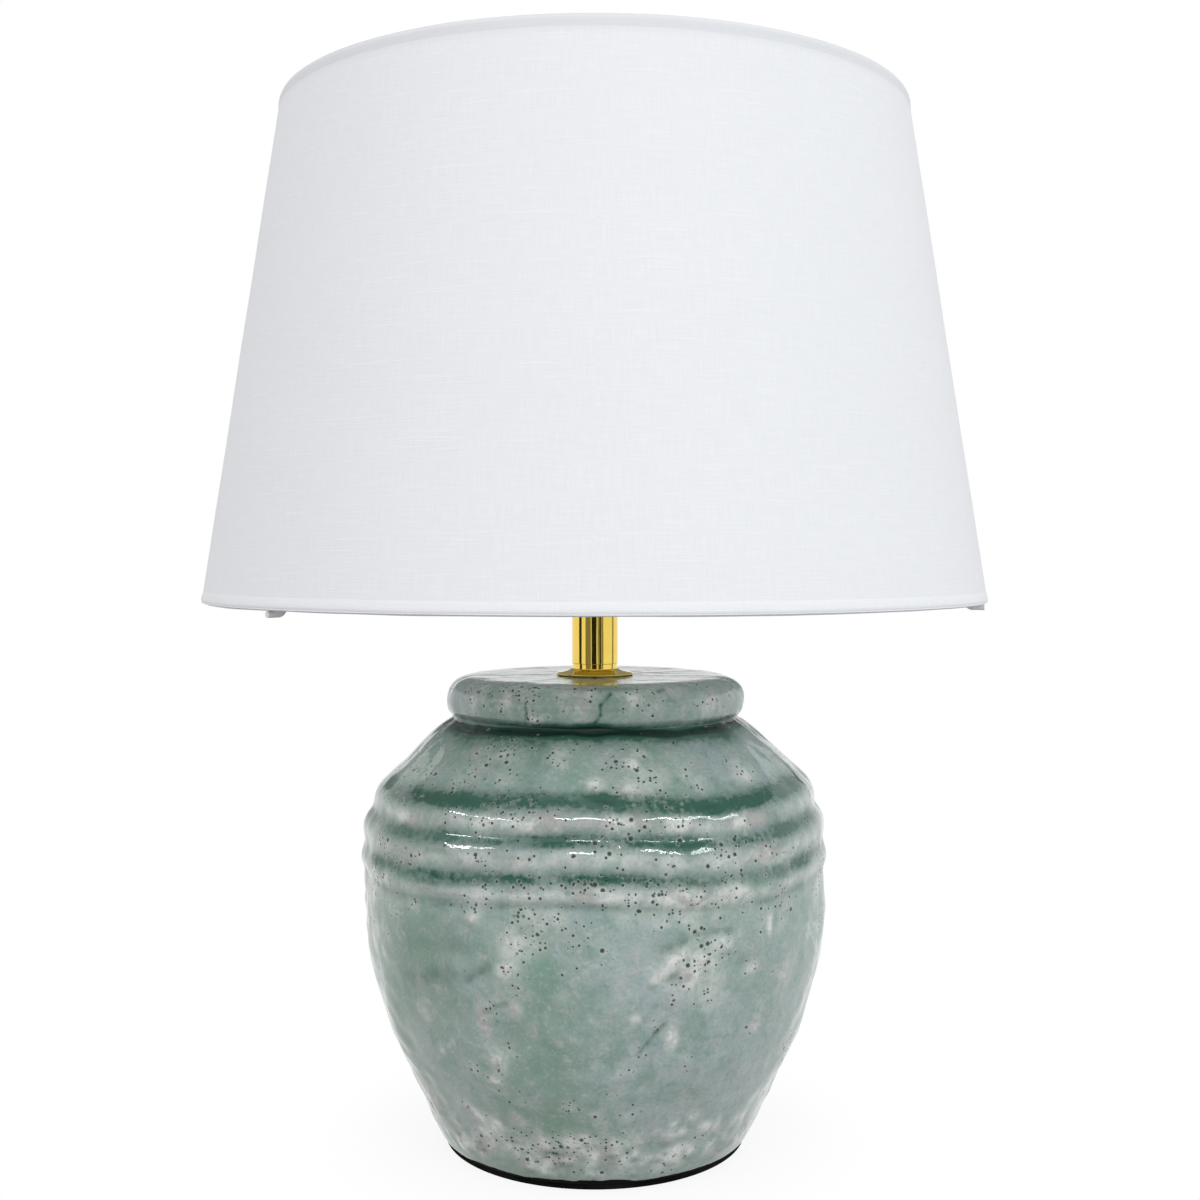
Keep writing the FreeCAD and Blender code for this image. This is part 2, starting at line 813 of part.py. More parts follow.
def make_hem(label):
    """A fabric edge folded round a wire ring: outer leg, fold and inner leg."""
    rise, edge, upward, inward = HEM[label]
    fold = " - hem_thick - cover_thick - liner_thick - wire_radius*2 - layer_gap*4"

    def corner(depth, reach):
        leg = [(inward, reach)] if reach else []
        height = f"{edge} {upward} {reach}" if reach else edge
        return (shade_face(rise + leg) + depth, height)

    return turned(label, [
        corner("", "hem_height"),
        corner("", None),
        corner(fold + " - hem_thick", None),
        corner(fold + " - hem_thick", "hem_height"),
        corner(fold, "hem_height"),
        corner(fold, "hem_thick"),
        corner(" - hem_thick", "hem_thick"),
        corner(" - hem_thick", "hem_height"),
    ])


def make_wire_ring(label):
    """A closed ring of round wire just inside the liner."""
    rise, height = WIRES[label]
    inset = " - hem_thick - cover_thick - liner_thick - wire_radius - layer_gap*3"
    ring = doc.addObject("Part::Torus", label)
    ring.Label = label
    ring.setExpression("Radius1", bound(shade_face(rise) + inset))
    ring.setExpression("Radius2", bound("wire_radius"))
    ring.setExpression("Placement.Base.z", bound(height))
    return ring


def make_shade():
    """Linen cover on a stiff liner, two wire rings and the hems rolled round them."""
    cover_out = " - hem_thick - layer_gap"
    cover_in = cover_out + " - cover_thick"
    liner_out = cover_in + " - layer_gap"
    liner_in = liner_out + " - liner_thick"
    layers = [
        shade_layer("shade_fabric", cover_in, cover_out),
        shade_layer("shade_liner", liner_in, liner_out),
    ]
    hems = [make_hem(label) for label in HEM]
    wires = [make_wire_ring(label) for label in WIRES]
    return layers + hems + wires


# ---------------------------------------------------------------- LED lamp

def make_lamp():
    """Screw cap with its contact, tapered housing, two boards and an opal dome."""
    tip = "lamp_low + contact_height"
    skirt = tip + " + insulator_height"
    contact = turned("bulb_contact", ring_outline("0", "contact_radius", "lamp_low", tip))
    rounded(contact, "contact_fillet", ("contact_radius", "lamp_low"))
    insulator = turned("bulb_insulator", [
        ("0", tip + " + layer_gap"),
        ("insulator_low_radius", tip + " + layer_gap"),
        ("insulator_high_radius", skirt),
        ("0", skirt),
    ])
    cap = turned("bulb_cap", [
        ("insulator_high_radius - cap_lip", skirt + " + layer_gap"),
        ("insulator_high_radius + cap_wall", skirt + " + layer_gap"),
        ("cap_radius", skirt + " + cap_taper_rise"),
        ("cap_radius", "cap_top"),
        ("cap_radius - cap_wall", "cap_top"),
        ("cap_radius - cap_wall", skirt + " + cap_taper_rise + cap_wall"),
        ("insulator_high_radius - cap_lip", skirt + " + cap_lip_rise"),
    ])
    floor = "cap_top + layer_gap"
    housing = turned("bulb_housing", [
        ("driver_half_width + housing_floor", floor),
        ("housing_low_radius", floor),
        ("housing_mid_radius", "housing_mid_height"),
        ("housing_radius", "housing_high"),
        ("housing_radius - housing_wall", "housing_high"),
        ("housing_mid_radius - housing_wall", "housing_mid_height"),
        ("driver_half_width + housing_floor", floor + " + housing_floor"),
    ])
    board_low = "housing_high - board_thick - board_drop"
    led_board = turned("bulb_led_board", ring_outline(
        "0", "board_radius", board_low, board_low + " + board_thick"
    ))
    driver = padded("bulb_driver_board", [
        ("- driver_half_width", "- driver_thick*0.5"),
        ("driver_half_width", "- driver_thick*0.5"),
        ("driver_half_width", "driver_thick*0.5"),
        ("- driver_half_width", "driver_thick*0.5"),
    ], "driver_low", "driver_high")
    return [contact, insulator, cap, housing, led_board, driver, make_dome()]


def make_dome():
    """Opal shell: part of a sphere above a short curve down to the housing's rim."""
    foot = amount("housing_high + layer_gap")
    centre = size("dome_centre")
    rims = []
    for inset in (0.0, size("dome_wall")):
        rims.append((size("dome_neck_radius") - inset, size("dome_radius") - inset))
    edges = []
    for neck, radius in rims:
        side = Vector(radius, 0, centre)
        middle = Vector((neck + radius) / 2 + size("dome_bulge"), 0, (foot + centre) / 2)
        apex = Vector(0, 0, centre + radius)
        diagonal = radius / math.sqrt(2)
        edges.append(Part.Arc(Vector(neck, 0, foot), middle, side).toShape())
        edges.append(Part.Arc(side, Vector(diagonal, 0, centre + diagonal), apex).toShape())
    outer_foot = Vector(rims[0][0], 0, foot)
    inner_foot = Vector(rims[1][0], 0, foot)
    outer_apex = Vector(0, 0, centre + rims[0][1])
    inner_apex = Vector(0, 0, centre + rims[1][1])
    edges.append(Part.makeLine(outer_foot, inner_foot))
    edges.append(Part.makeLine(outer_apex, inner_apex))
    section = Part.Face(Part.Wire(Part.__sortEdges__(edges)))
    dome = doc.addObject("Part::Feature", "bulb_dome")
    dome.Label = "bulb_dome"
    dome.Shape = section.revolve(Vector(0, 0, 0), Vector(0, 0, 1), 360)
    return dome


# ---------------------------------------------------------------- assembly

pieces = [make_jar()]
pieces += make_cord_outlet()
pieces += make_clamp_stack()
pieces += make_neck()
pieces += [make_holder_cap(), make_grub_screw()]
pieces += make_switch()
pieces += make_live_parts()
pieces += [make_holder_shell(), make_retainer()]
pieces += make_carrier()
pieces += make_shade()
pieces += make_lamp()

doc.recompute()
for item in doc.Objects:
    if "Invalid" in item.State or "Error" in item.State:
        raise RuntimeError(f"{item.Label} failed: {item.State}")
for piece in pieces:
    if piece.Shape.isNull() or not piece.Shape.isValid():
        raise RuntimeError(f"{piece.Label} has no valid shape")
for piece in pieces:
    piece.Shape.exportStep(f"parts/{piece.Label}.step")
    print(f"{piece.Label}: {len(piece.Shape.Solids)} solid(s), {piece.Shape.Volume:.0f} mm3")
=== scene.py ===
import json
import math

import bmesh
import bpy
import numpy as np
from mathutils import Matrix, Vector


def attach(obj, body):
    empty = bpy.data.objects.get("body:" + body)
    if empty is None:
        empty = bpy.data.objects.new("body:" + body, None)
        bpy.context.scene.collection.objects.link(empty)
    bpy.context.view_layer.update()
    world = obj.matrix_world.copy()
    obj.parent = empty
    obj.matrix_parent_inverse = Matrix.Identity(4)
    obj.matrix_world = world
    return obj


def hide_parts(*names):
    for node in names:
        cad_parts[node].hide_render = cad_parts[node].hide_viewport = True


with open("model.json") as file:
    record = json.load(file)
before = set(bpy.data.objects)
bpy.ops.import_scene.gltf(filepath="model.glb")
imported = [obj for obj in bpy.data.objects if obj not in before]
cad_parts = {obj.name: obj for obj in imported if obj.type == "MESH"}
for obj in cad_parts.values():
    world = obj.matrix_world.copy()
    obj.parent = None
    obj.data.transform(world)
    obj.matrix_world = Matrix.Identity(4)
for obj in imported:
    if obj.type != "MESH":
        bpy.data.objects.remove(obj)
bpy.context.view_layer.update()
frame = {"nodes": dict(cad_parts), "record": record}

MM = 0.001
TURN = 2 * math.pi
SHARP = math.radians(35)
WELD = 1e-7

# ---------------------------------------------------------------- measures, in millimetres

# Outline of the jar's outer face from the foot to the middle of its top: (radius, height).
JAR_OUTLINE = [
    (74.0, 2.55), (78.4, 2.6), (80.3, 4.0), (82.6, 8.0), (84.5, 12.0), (89.6, 24.0),
    (95.3, 36.0), (101.0, 48.0), (106.2, 60.0), (110.4, 72.0), (114.0, 84.0), (116.8, 96.0),
    (118.8, 108.0), (119.6, 120.0), (119.5, 131.0), (119.3, 140.0), (119.2, 144.6),
    (120.4, 149.2), (120.2, 152.2), (119.3, 155.4), (118.7, 158.4), (118.9, 161.4), (119.2, 164.8),
    (118.9, 168.0), (117.4, 171.4), (115.0, 175.3), (114.5, 178.2), (114.1, 181.2),
    (113.2, 184.0), (111.6, 186.6), (107.6, 190.6), (104.2, 193.7), (97.4, 200.0), (88.9, 208.0),
    (82.4, 213.8),
    (77.9, 217.2), (74.9, 219.1), (73.9, 220.5), (74.8, 221.8), (76.5, 224.0),
    (77.3, 228.4), (76.9, 232.4), (75.3, 235.8), (72.2, 238.7), (68.0, 240.4),
    (62.0, 241.0), (48.0, 241.0), (34.0, 241.0), (20.0, 241.0), (6.0, 241.0),
]
# Its inner face, from the middle of the top's underside down the wall to the foot.
JAR_INSIDE = [
    (6.0, 233.0), (60.0, 233.0), (67.0, 229.0), (69.5, 218.0), (97.0, 192.0), (111.0, 165.0),
    (112.6, 124.0), (103.4, 72.0), (82.6, 24.0), (76.0, 9.5), (30.0, 9.5), (30.0, 2.55),
]
JAR_TURNS = 840
JAR_ROWS = 380
# The top face inside this radius stays free of marks.
LIP_RADIUS = 64.0
# Where the glaze pools: (height, how much, half width, how uneven).
POOLS = [
    (219.5, 2.6, 3.0, 0.2), (214.5, 0.45, 3.0, 0.9), (190.4, 1.35, 4.2, 0.6),
    (174.4, 1.2, 3.8, 0.6), (157.0, 1.05, 3.7, 0.7), (144.8, 0.40, 1.9, 0.8),
    (208.0, 0.12, 6.0, 1.0),
]
# Ridges where the glaze is thin: (height, half width), and how thin.
RIDGES = [(182.0, 3.4), (165.4, 3.6), (150.2, 2.6)]
RIDGE_THIN = 0.42
# The most that each kind of glaze counts for, where marks lie over each other.
MOST_POOL = 2.6
MOST_THIN = 1.0
MOST_CROWD = 1.6
MARK_SEED = 12
MEAN_RADIUS = 110
WANDER_WAVES = 28
CURVE_STEPS = 24

# Marks in the glaze. A heading is in degrees from the front, positive to the right; heights
# and widths are in millimetres.
# Groups of pinholes: (heading, height, spread, how many).
PINHOLES = [
    (-32, 236, 8, 16), (-24, 237, 5, 5), (-9, 236, 8, 7), (-2, 238, 2, 3), (-22, 226, 5, 6),
    (-50, 236, 10, 6), (16, 234, 10, 7), (48, 232, 9, 8), (62, 232, 4, 3), (-54, 232, 6, 4),
    (-34, 212, 6, 6), (-26, 211, 7, 7), (-40, 209, 2, 2), (-12, 212, 4, 3), (-11, 208, 3, 5),
    (4, 207, 5, 3), (10, 206, 2, 2), (14, 211, 2, 2), (-39, 197, 6, 6), (10, 198, 12, 8),
    (16, 198, 6, 4), (0, 198, 1, 1), (29, 196, 4, 2), (26, 203, 5, 3), (48, 201, 6, 5),
    (-26, 200, 4, 2), (-35, 201, 4, 2), (-54, 196, 9, 4), (-38, 184, 3, 4), (-34, 184, 4, 4),
    (-24, 186, 6, 5), (-17, 187, 6, 9), (8, 184, 2, 2), (4, 183, 3, 3), (12, 186, 5, 4),
    (15, 181, 3, 3), (20, 183, 6, 12), (-9, 186, 4, 2), (-60, 166, 4, 4), (-55, 162, 5, 5),
    (-28, 180, 4, 4), (-37, 170, 4, 3), (-27, 167, 4, 6), (-48, 162, 6, 5), (-16, 166, 4, 3),
    (-6, 172, 4, 3), (2, 169, 3, 3), (6, 174, 8, 7), (17, 167, 3, 3), (28, 172, 5, 4),
    (28, 164, 4, 5), (32, 170, 4, 4), (34, 160, 3, 4), (40, 170, 5, 4), (43, 160, 5, 7),
    (46, 164, 4, 4), (53, 160, 5, 3), (60, 158, 4, 2), (35, 177, 6, 5), (-64, 152, 4, 3),
    (-56, 151, 5, 4), (-25, 152, 5, 6), (-22, 158, 4, 3), (-16, 155, 6, 9), (-12, 152, 7, 6),
    (-4, 155, 6, 7), (0, 156, 4, 4), (5, 154, 7, 5), (12, 152, 6, 7), (16, 154, 6, 5),
    (22, 154, 7, 10), (23, 148, 5, 4), (32, 152, 6, 7), (37, 145, 3, 3), (48, 147, 5, 4),
    (50, 138, 5, 4), (-54, 136, 5, 4), (-46, 140, 5, 4), (-30, 144, 4, 6), (-26, 146, 4, 3),
    (-16, 144, 3, 4), (-8, 141, 3, 2), (3, 148, 3, 2), (9, 144, 5, 4), (20, 142, 5, 5),
    (16, 144, 4, 3), (28, 144, 5, 4), (41, 136, 6, 6), (47, 128, 3, 2), (-58, 120, 3, 2),
    (-14, 134, 8, 14), (-12, 139, 5, 5), (-17, 126, 5, 7), (-13, 128, 3, 5), (-7, 136, 3, 3),
    (-1, 134, 2, 2), (3, 123, 3, 4), (-4, 128, 4, 4), (14, 136, 2, 1), (6, 140, 2, 1),
    (-5, 117, 3, 2), (-7, 106, 2, 1), (6, 103, 2, 1), (-32, 116, 2, 1), (-19, 114, 4, 9),
    (-17, 108, 5, 6), (-22, 101, 3, 3), (-24, 95, 4, 6), (20, 110, 3, 3), (22, 117, 6, 9),
    (26, 120, 6, 13), (24, 102, 5, 6), (18, 103, 3, 3), (29, 129, 4, 3), (23, 132, 3, 2),
    (20, 140, 3, 3), (46, 106, 3, 3), (37, 112, 4, 2), (42, 80, 3, 2), (15, 89, 2, 3),
    (10, 76, 2, 2), (8, 68, 3, 3), (3, 56, 2, 1), (-24, 64, 3, 3), (-26, 59, 3, 2),
    (-20, 50, 3, 2), (-32, 64, 3, 3), (-39, 40, 4, 4), (-6, 48, 4, 6), (1, 44, 3, 2),
    (10, 43, 4, 2), (22, 68, 4, 4), (-20, 76, 4, 4), (-19, 23, 12, 10), (-12, 20, 10, 10),
    (-26, 24, 8, 6), (-3, 26, 8, 8), (2, 8, 1, 1), (-7, 7, 1, 1), (7, 24, 8, 4),
    (-36, 24, 6, 4), (22, 12, 6, 4), (33, 22, 7, 4),
]
# Raised pale spots: (heading, height, half width, half height, how much).
LUMPS = [
    (-19, 129, 6, 8, 0.5), (-44, 104, 3, 4, 0.8), (-20, 116, 6, 5, 0.5), (-26, 90, 4, 9, 0.7),
    (-18, 96, 4, 5, 0.5), (9, 94, 3, 3, 0.6), (18, 82, 3, 6, 1.0), (20, 116, 14, 10, 0.6),
    (18, 122, 4, 4, 0.7), (30, 125, 5, 4, 0.7), (14, 112, 5, 3, 0.6), (-41, 70, 2, 3, 0.6),
    (-24, 71, 5, 6, 0.7), (-26, 60, 3, 2, 0.6), (-40, 40, 4, 3, 0.6), (-36, 27, 8, 8, 0.6),
    (-35, 21, 5, 6, 0.5), (-22, 38, 5, 4, 0.3), (-17, 22, 8, 6, 0.4), (-3, 24, 8, 6, 0.35),
    (-2, 14, 10, 6, 0.3), (7, 17, 6, 8, 0.4), (26, 29, 4, 3, 0.9), (29, 38, 4, 4, 0.5),
    (34, 30, 4, 3, 0.8), (13, 29, 3, 3, 0.5), (25, 16, 6, 5, 0.5), (42, 82, 3, 4, 0.5),
    (38, 114, 4, 5, 0.6), (43, 130, 2, 8, 0.7), (50, 102, 6, 10, 0.5), (28, 104, 8, 12, 0.3),
    (-28, 138, 5, 3, 0.7), (-45, 88, 6, 8, 0.3), (20, 182, 6, 4, 0.9), (42, 166, 5, 5, 0.7),
    (40, 181, 9, 4, 0.7), (32, 150, 9, 5, 0.7), (-1, 151, 7, 4, 0.7), (-12, 180, 11, 4, 0.7),
    (-10, 185, 4, 3, 0.6), (4, 183, 4, 3, 0.7), (11, 206, 3, 2, 0.7), (-40, 209, 3, 2, 0.7),
    (0, 197, 5, 3, 0.6), (8, 194, 7, 4, 0.6), (46, 200, 6, 5, 0.6), (-51, 178, 12, 4, 0.6),
    (20, 148, 8, 4, 0.8), (-22, 226, 4, 3, 0.6), (14, 235, 4, 3, 0.6), (-34, 234, 7, 5, 0.4),
    (47, 232, 8, 5, 0.4), (-4, 232, 5, 4, 0.4), (30, 238, 8, 4, 0.3),
]
# Dark strokes beside dents: (heading, height) of both ends, half width, how much.
STROKES = [
    (-30, 108, -24, 116, 2.4, 0.9), (-26, 94, -20, 100, 1.6, 0.8), (12, 108, 18, 114, 2.0, 0.5),
    (14, 125, 23, 132, 2.0, 0.5), (23, 132, 32, 132, 1.8, 0.6), (14, 86, 16, 90, 1.5, 0.8),
    (10, 75, 14, 86, 1.2, 0.7), (-15, 21, -10, 20, 1.5, 0.7), (-26, 25, -19, 23, 1.4, 0.4),
    (-50, 101, -34, 110, 5.0, 0.6), (35, 115, 39, 116, 4.0, 0.6), (-48, 120, -29, 126, 8.0, 0.4),
    (6, 238, 2, 233, 0.9, 1.1), (2, 233, 2, 228, 0.9, 1.0), (2, 228, 0, 223, 0.9, 1.1),
    (-26, 232, -25, 228, 0.9, 1.0), (-25, 228, -26, 224, 0.9, 1.1), (28, 239, 24, 238, 0.9, 0.7),
    (-23, 228, -20, 225, 0.9, 0.6),
]
# Degrees to each side of the front that are kept for the marks above; random ones lie beyond.
PLACED_HALF_TURN = 62.0

# The camera's place in millimetres and its angles in radians.
CAMERA_PLACE = (0.0, -810.3, 307.8)
CAMERA_DIP = 0.0342
CAMERA_TURN = -0.0033
PHOTO_WIDTH = 1200
FOCAL_PIXELS = 1549.0
SENSOR = 36.0

SHADE_LOW = 280.0
SHADE_HEIGHT = 250.0
SHADE_RADIUS = 200.0
SHADE_TAPER = 0.16
HEM_THICK = 0.5
HEM_HEIGHT = 6.2
HEM_DEPTH = 6.2
HEM_FOLD = 2.6
HEM_INNER_FOLD = 2.4
HEM_CLOTH = 0.8
HEM_SEED = 31
COVER_DEPTH = 0.55
COVER_THICK = 0.45
COVER_SET_BACK = 0.7
COVER_CLEARANCE = 0.03
COVER_COLUMNS = 480
COVER_ROWS = 60
SEAM_OVERLAP = 12.0
SEAM_SOFTNESS = 0.004
# Heights in metres between which the linen is darkened towards the top rim, as painted shade on the
# rolled top edge.
PAINTED_RIM_SHADE_FROM = 0.5195
PAINTED_RIM_SHADE_TO = 0.5275
# The bare foot edge: its height in metres at the jar's middle, and how much it rises to the front.
BARE_EDGE = 0.0016
BARE_EDGE_RISE = 0.045

CAP_LOW = 325.25
CAP_HIGH = 345.95
CAP_RADIUS = 13.05
THREAD_DEPTH = 1.1
THREAD_PITCH = 3.63


# ---------------------------------------------------------------- meshes

def add_piece(name, points, faces, body, material, stands_for):
    """A mesh piece that rides on a body, has the finish of a slot and replaces CAD nodes."""
    mesh = bpy.data.meshes.new(name)
    mesh.from_pydata(np.asarray(points).tolist(), [], np.asarray(faces).tolist())
    welded = bmesh.new()
    welded.from_mesh(mesh)
    bmesh.ops.remove_doubles(welded, verts=welded.verts, dist=WELD)
    bmesh.ops.recalc_face_normals(welded, faces=welded.faces)
    welded.to_mesh(mesh)
    welded.free()
    mesh.shade_smooth()
    mesh.set_sharp_from_angle(angle=SHARP)
    mesh.materials.append(material)
    piece = bpy.data.objects.new(name, mesh)
    bpy.context.scene.collection.objects.link(piece)
    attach(piece, body)
    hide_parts(*stands_for)
    return piece


def grid_faces(rows, columns):
    """Quads between the points of a grid that closes round its rows and its columns."""
    row, column = np.meshgrid(np.arange(rows), np.arange(columns), indexing="ij")
    above = (row + 1) % rows
    beside = (column + 1) % columns
    corners = [
        row * columns + column,
        row * columns + beside,
        above * columns + beside,
        above * columns + column,
    ]
    return np.stack([c.ravel() for c in corners], axis=1)


def spin(radius, height, columns):
    """Points of a turned surface, in metres; radius and height are one value or grid a row."""
    angle = np.arange(columns) / columns * TURN
    radius = np.atleast_2d(radius)
    height = np.atleast_2d(height)
    if radius.shape[0] == 1:
        radius = radius.T
        height = height.T
    radius = np.broadcast_to(radius, (radius.shape[0], columns))
    height = np.broadcast_to(height, radius.shape)
    places = [radius * np.cos(angle), radius * np.sin(angle), height]
    return np.stack(places, axis=-1).reshape(-1, 3) * MM


def smooth_curve(points, count):
    """Points evenly spaced along a smooth curve through the given ones."""
    p = np.array(points, float)
    ends = [2 * p[0] - p[1], *p, 2 * p[-1] - p[-2]]
    p = np.array(ends)
    dense = []
    for before, start, end, after in zip(p, p[1:], p[2:], p[3:]):
        pairs = ((before, start), (start, end), (end, after))
        gaps = [np.linalg.norm(b - a) ** 0.5 for a, b in pairs]
        out = ((start - before) / gaps[0] - (end - before) / (gaps[0] + gaps[1])) * gaps[1]
        out += end - start
        back = ((after - end) / gaps[2] - (after - start) / (gaps[1] + gaps[2])) * gaps[1]
        back += end - start
        t = np.linspace(0, 1, CURVE_STEPS, endpoint=False)[:, None]
        dense.append(
            (2 * t**3 - 3 * t**2 + 1) * start + (t**3 - 2 * t**2 + t) * out
            + (3 * t**2 - 2 * t**3) * end + (t**3 - t**2) * back
        )
    dense = np.vstack([*dense, p[-2:-1]])
    along = np.concatenate([[0], np.cumsum(np.linalg.norm(np.diff(dense, axis=0), axis=1))])
    at = np.linspace(0, along[-1], count)
    return np.stack([np.interp(at, along, dense[:, k]) for k in range(2)], axis=1)


def turned(name, outline, columns, body, material, stands_for):
    """A closed turned piece from its outline, in order round its section."""
    p = np.array(outline, float)
    points = spin(p[:, 0], p[:, 1], columns)
    faces = grid_faces(len(p), columns)
    add_piece(name, points, faces, body, material, stands_for)


def arc(centre, radius, start, end, steps):
    """Points of an arc in the section plane; angles in degrees."""
    spots = []
    for step in range(steps + 1):
        angle = math.radians(start + (end - start) * step / steps)
        out = radius * math.cos(angle)
        up = radius * math.sin(angle)
        spots.append((centre[0] + out, centre[1] + up))
    return spots


def wander(angle, height, seed, across, along):
    """A smooth random field over the jar with a spread of 1; sizes of its waves in millimetres."""
    draw = np.random.default_rng(seed)
    field = np.zeros(np.broadcast(angle, height).shape)
    for _ in range(WANDER_WAVES):
        round_waves = round(draw.normal(0, TURN * MEAN_RADIUS / across))
        up_waves = draw.normal(0, TURN / along)
        phase = draw.uniform(0, TURN)
        field = field + np.cos(round_waves * angle + up_waves * height + phase)
    return field / math.sqrt(WANDER_WAVES / 2)


# ---------------------------------------------------------------- materials

class Finish:
    """A short way to write a material's nodes round one principled shader."""

    def __init__(self, name, **sockets):
        self.material = bpy.data.materials.new(name)
        self.material.use_nodes = True
        self.nodes = self.material.node_tree.nodes
        self.links = self.material.node_tree.links
        self.nodes.clear()
        self.shader = self.nodes.new("ShaderNodeBsdfPrincipled")
        output = self.nodes.new("ShaderNodeOutputMaterial")
        self.links.new(self.shader.outputs[0], output.inputs["Surface"])
        self.place = self.add("ShaderNodeTexCoord").outputs["Object"]
        self.finish(**sockets)

    def put(self, socket, value):
        if isinstance(value, bpy.types.NodeSocket):
            self.links.new(value, socket)
        elif socket.type == "RGBA" and len(value) == 3:
            socket.default_value = (*value, 1.0)
        else:
            socket.default_value = value

    def add(self, kind, inputs=(), **settings):
        node = self.nodes.new(kind)
        for name, value in settings.items():
            setattr(node, name, value)
        for key, value in dict(inputs).items():
            self.put(node.inputs[key], value)
        return node

    def attribute(self, name):
        return self.add("ShaderNodeAttribute", attribute_name=name).outputs["Fac"]

    def stretched(self, x, y, z, vector=None):
        inputs = {0: vector or self.place, 1: (x, y, z)}
        return self.add("ShaderNodeVectorMath", inputs, operation="MULTIPLY").outputs[0]

    def noise(self, scale, detail=3.0, rough=0.5, vector=None, distortion=0.0):
        inputs = {
            "Vector": vector or self.place,
            "Scale": scale,
            "Detail": detail,
            "Roughness": rough,
            "Distortion": distortion,
        }
        return self.add("ShaderNodeTexNoise", inputs).outputs["Fac"]

    def cells(self, scale):
        inputs = {"Vector": self.place, "Scale": scale}
        return self.add("ShaderNodeTexVoronoi", inputs, feature="F1")

    def math(self, operation, *values):
        node = self.add("ShaderNodeMath", operation=operation)
        for socket, value in zip(node.inputs, values):
            self.put(socket, value)
        return node.outputs[0]

    def between(self, value, low, high, to_low=0.0, to_high=1.0):
        """Maps a range to another, smoothly and held at its ends."""
        inputs = {"Value": value, 1: low, 2: high, 3: to_low, 4: to_high}
        node = self.add("ShaderNodeMapRange", inputs, interpolation_type="SMOOTHSTEP")
        return node.outputs[0]

    def mix(self, amount, first, second, blend="MIX"):
        node = self.add("ShaderNodeMix", data_type="RGBA", blend_type=blend)
        self.put(node.inputs[0], amount)
        self.put(node.inputs[6], first)
        self.put(node.inputs[7], second)
        return node.outputs[2]

    def bump(self, height, distance, strength=1.0, onto=None):
        inputs = {"Height": height, "Distance": distance, "Strength": strength}
        if onto is not None:
            inputs["Normal"] = onto
        return self.add("ShaderNodeBump", inputs).outputs[0]

    def finish(self, **sockets):
        for socket, value in sockets.items():
            self.put(self.shader.inputs[socket.replace("_", " ")], value)
        return self.material


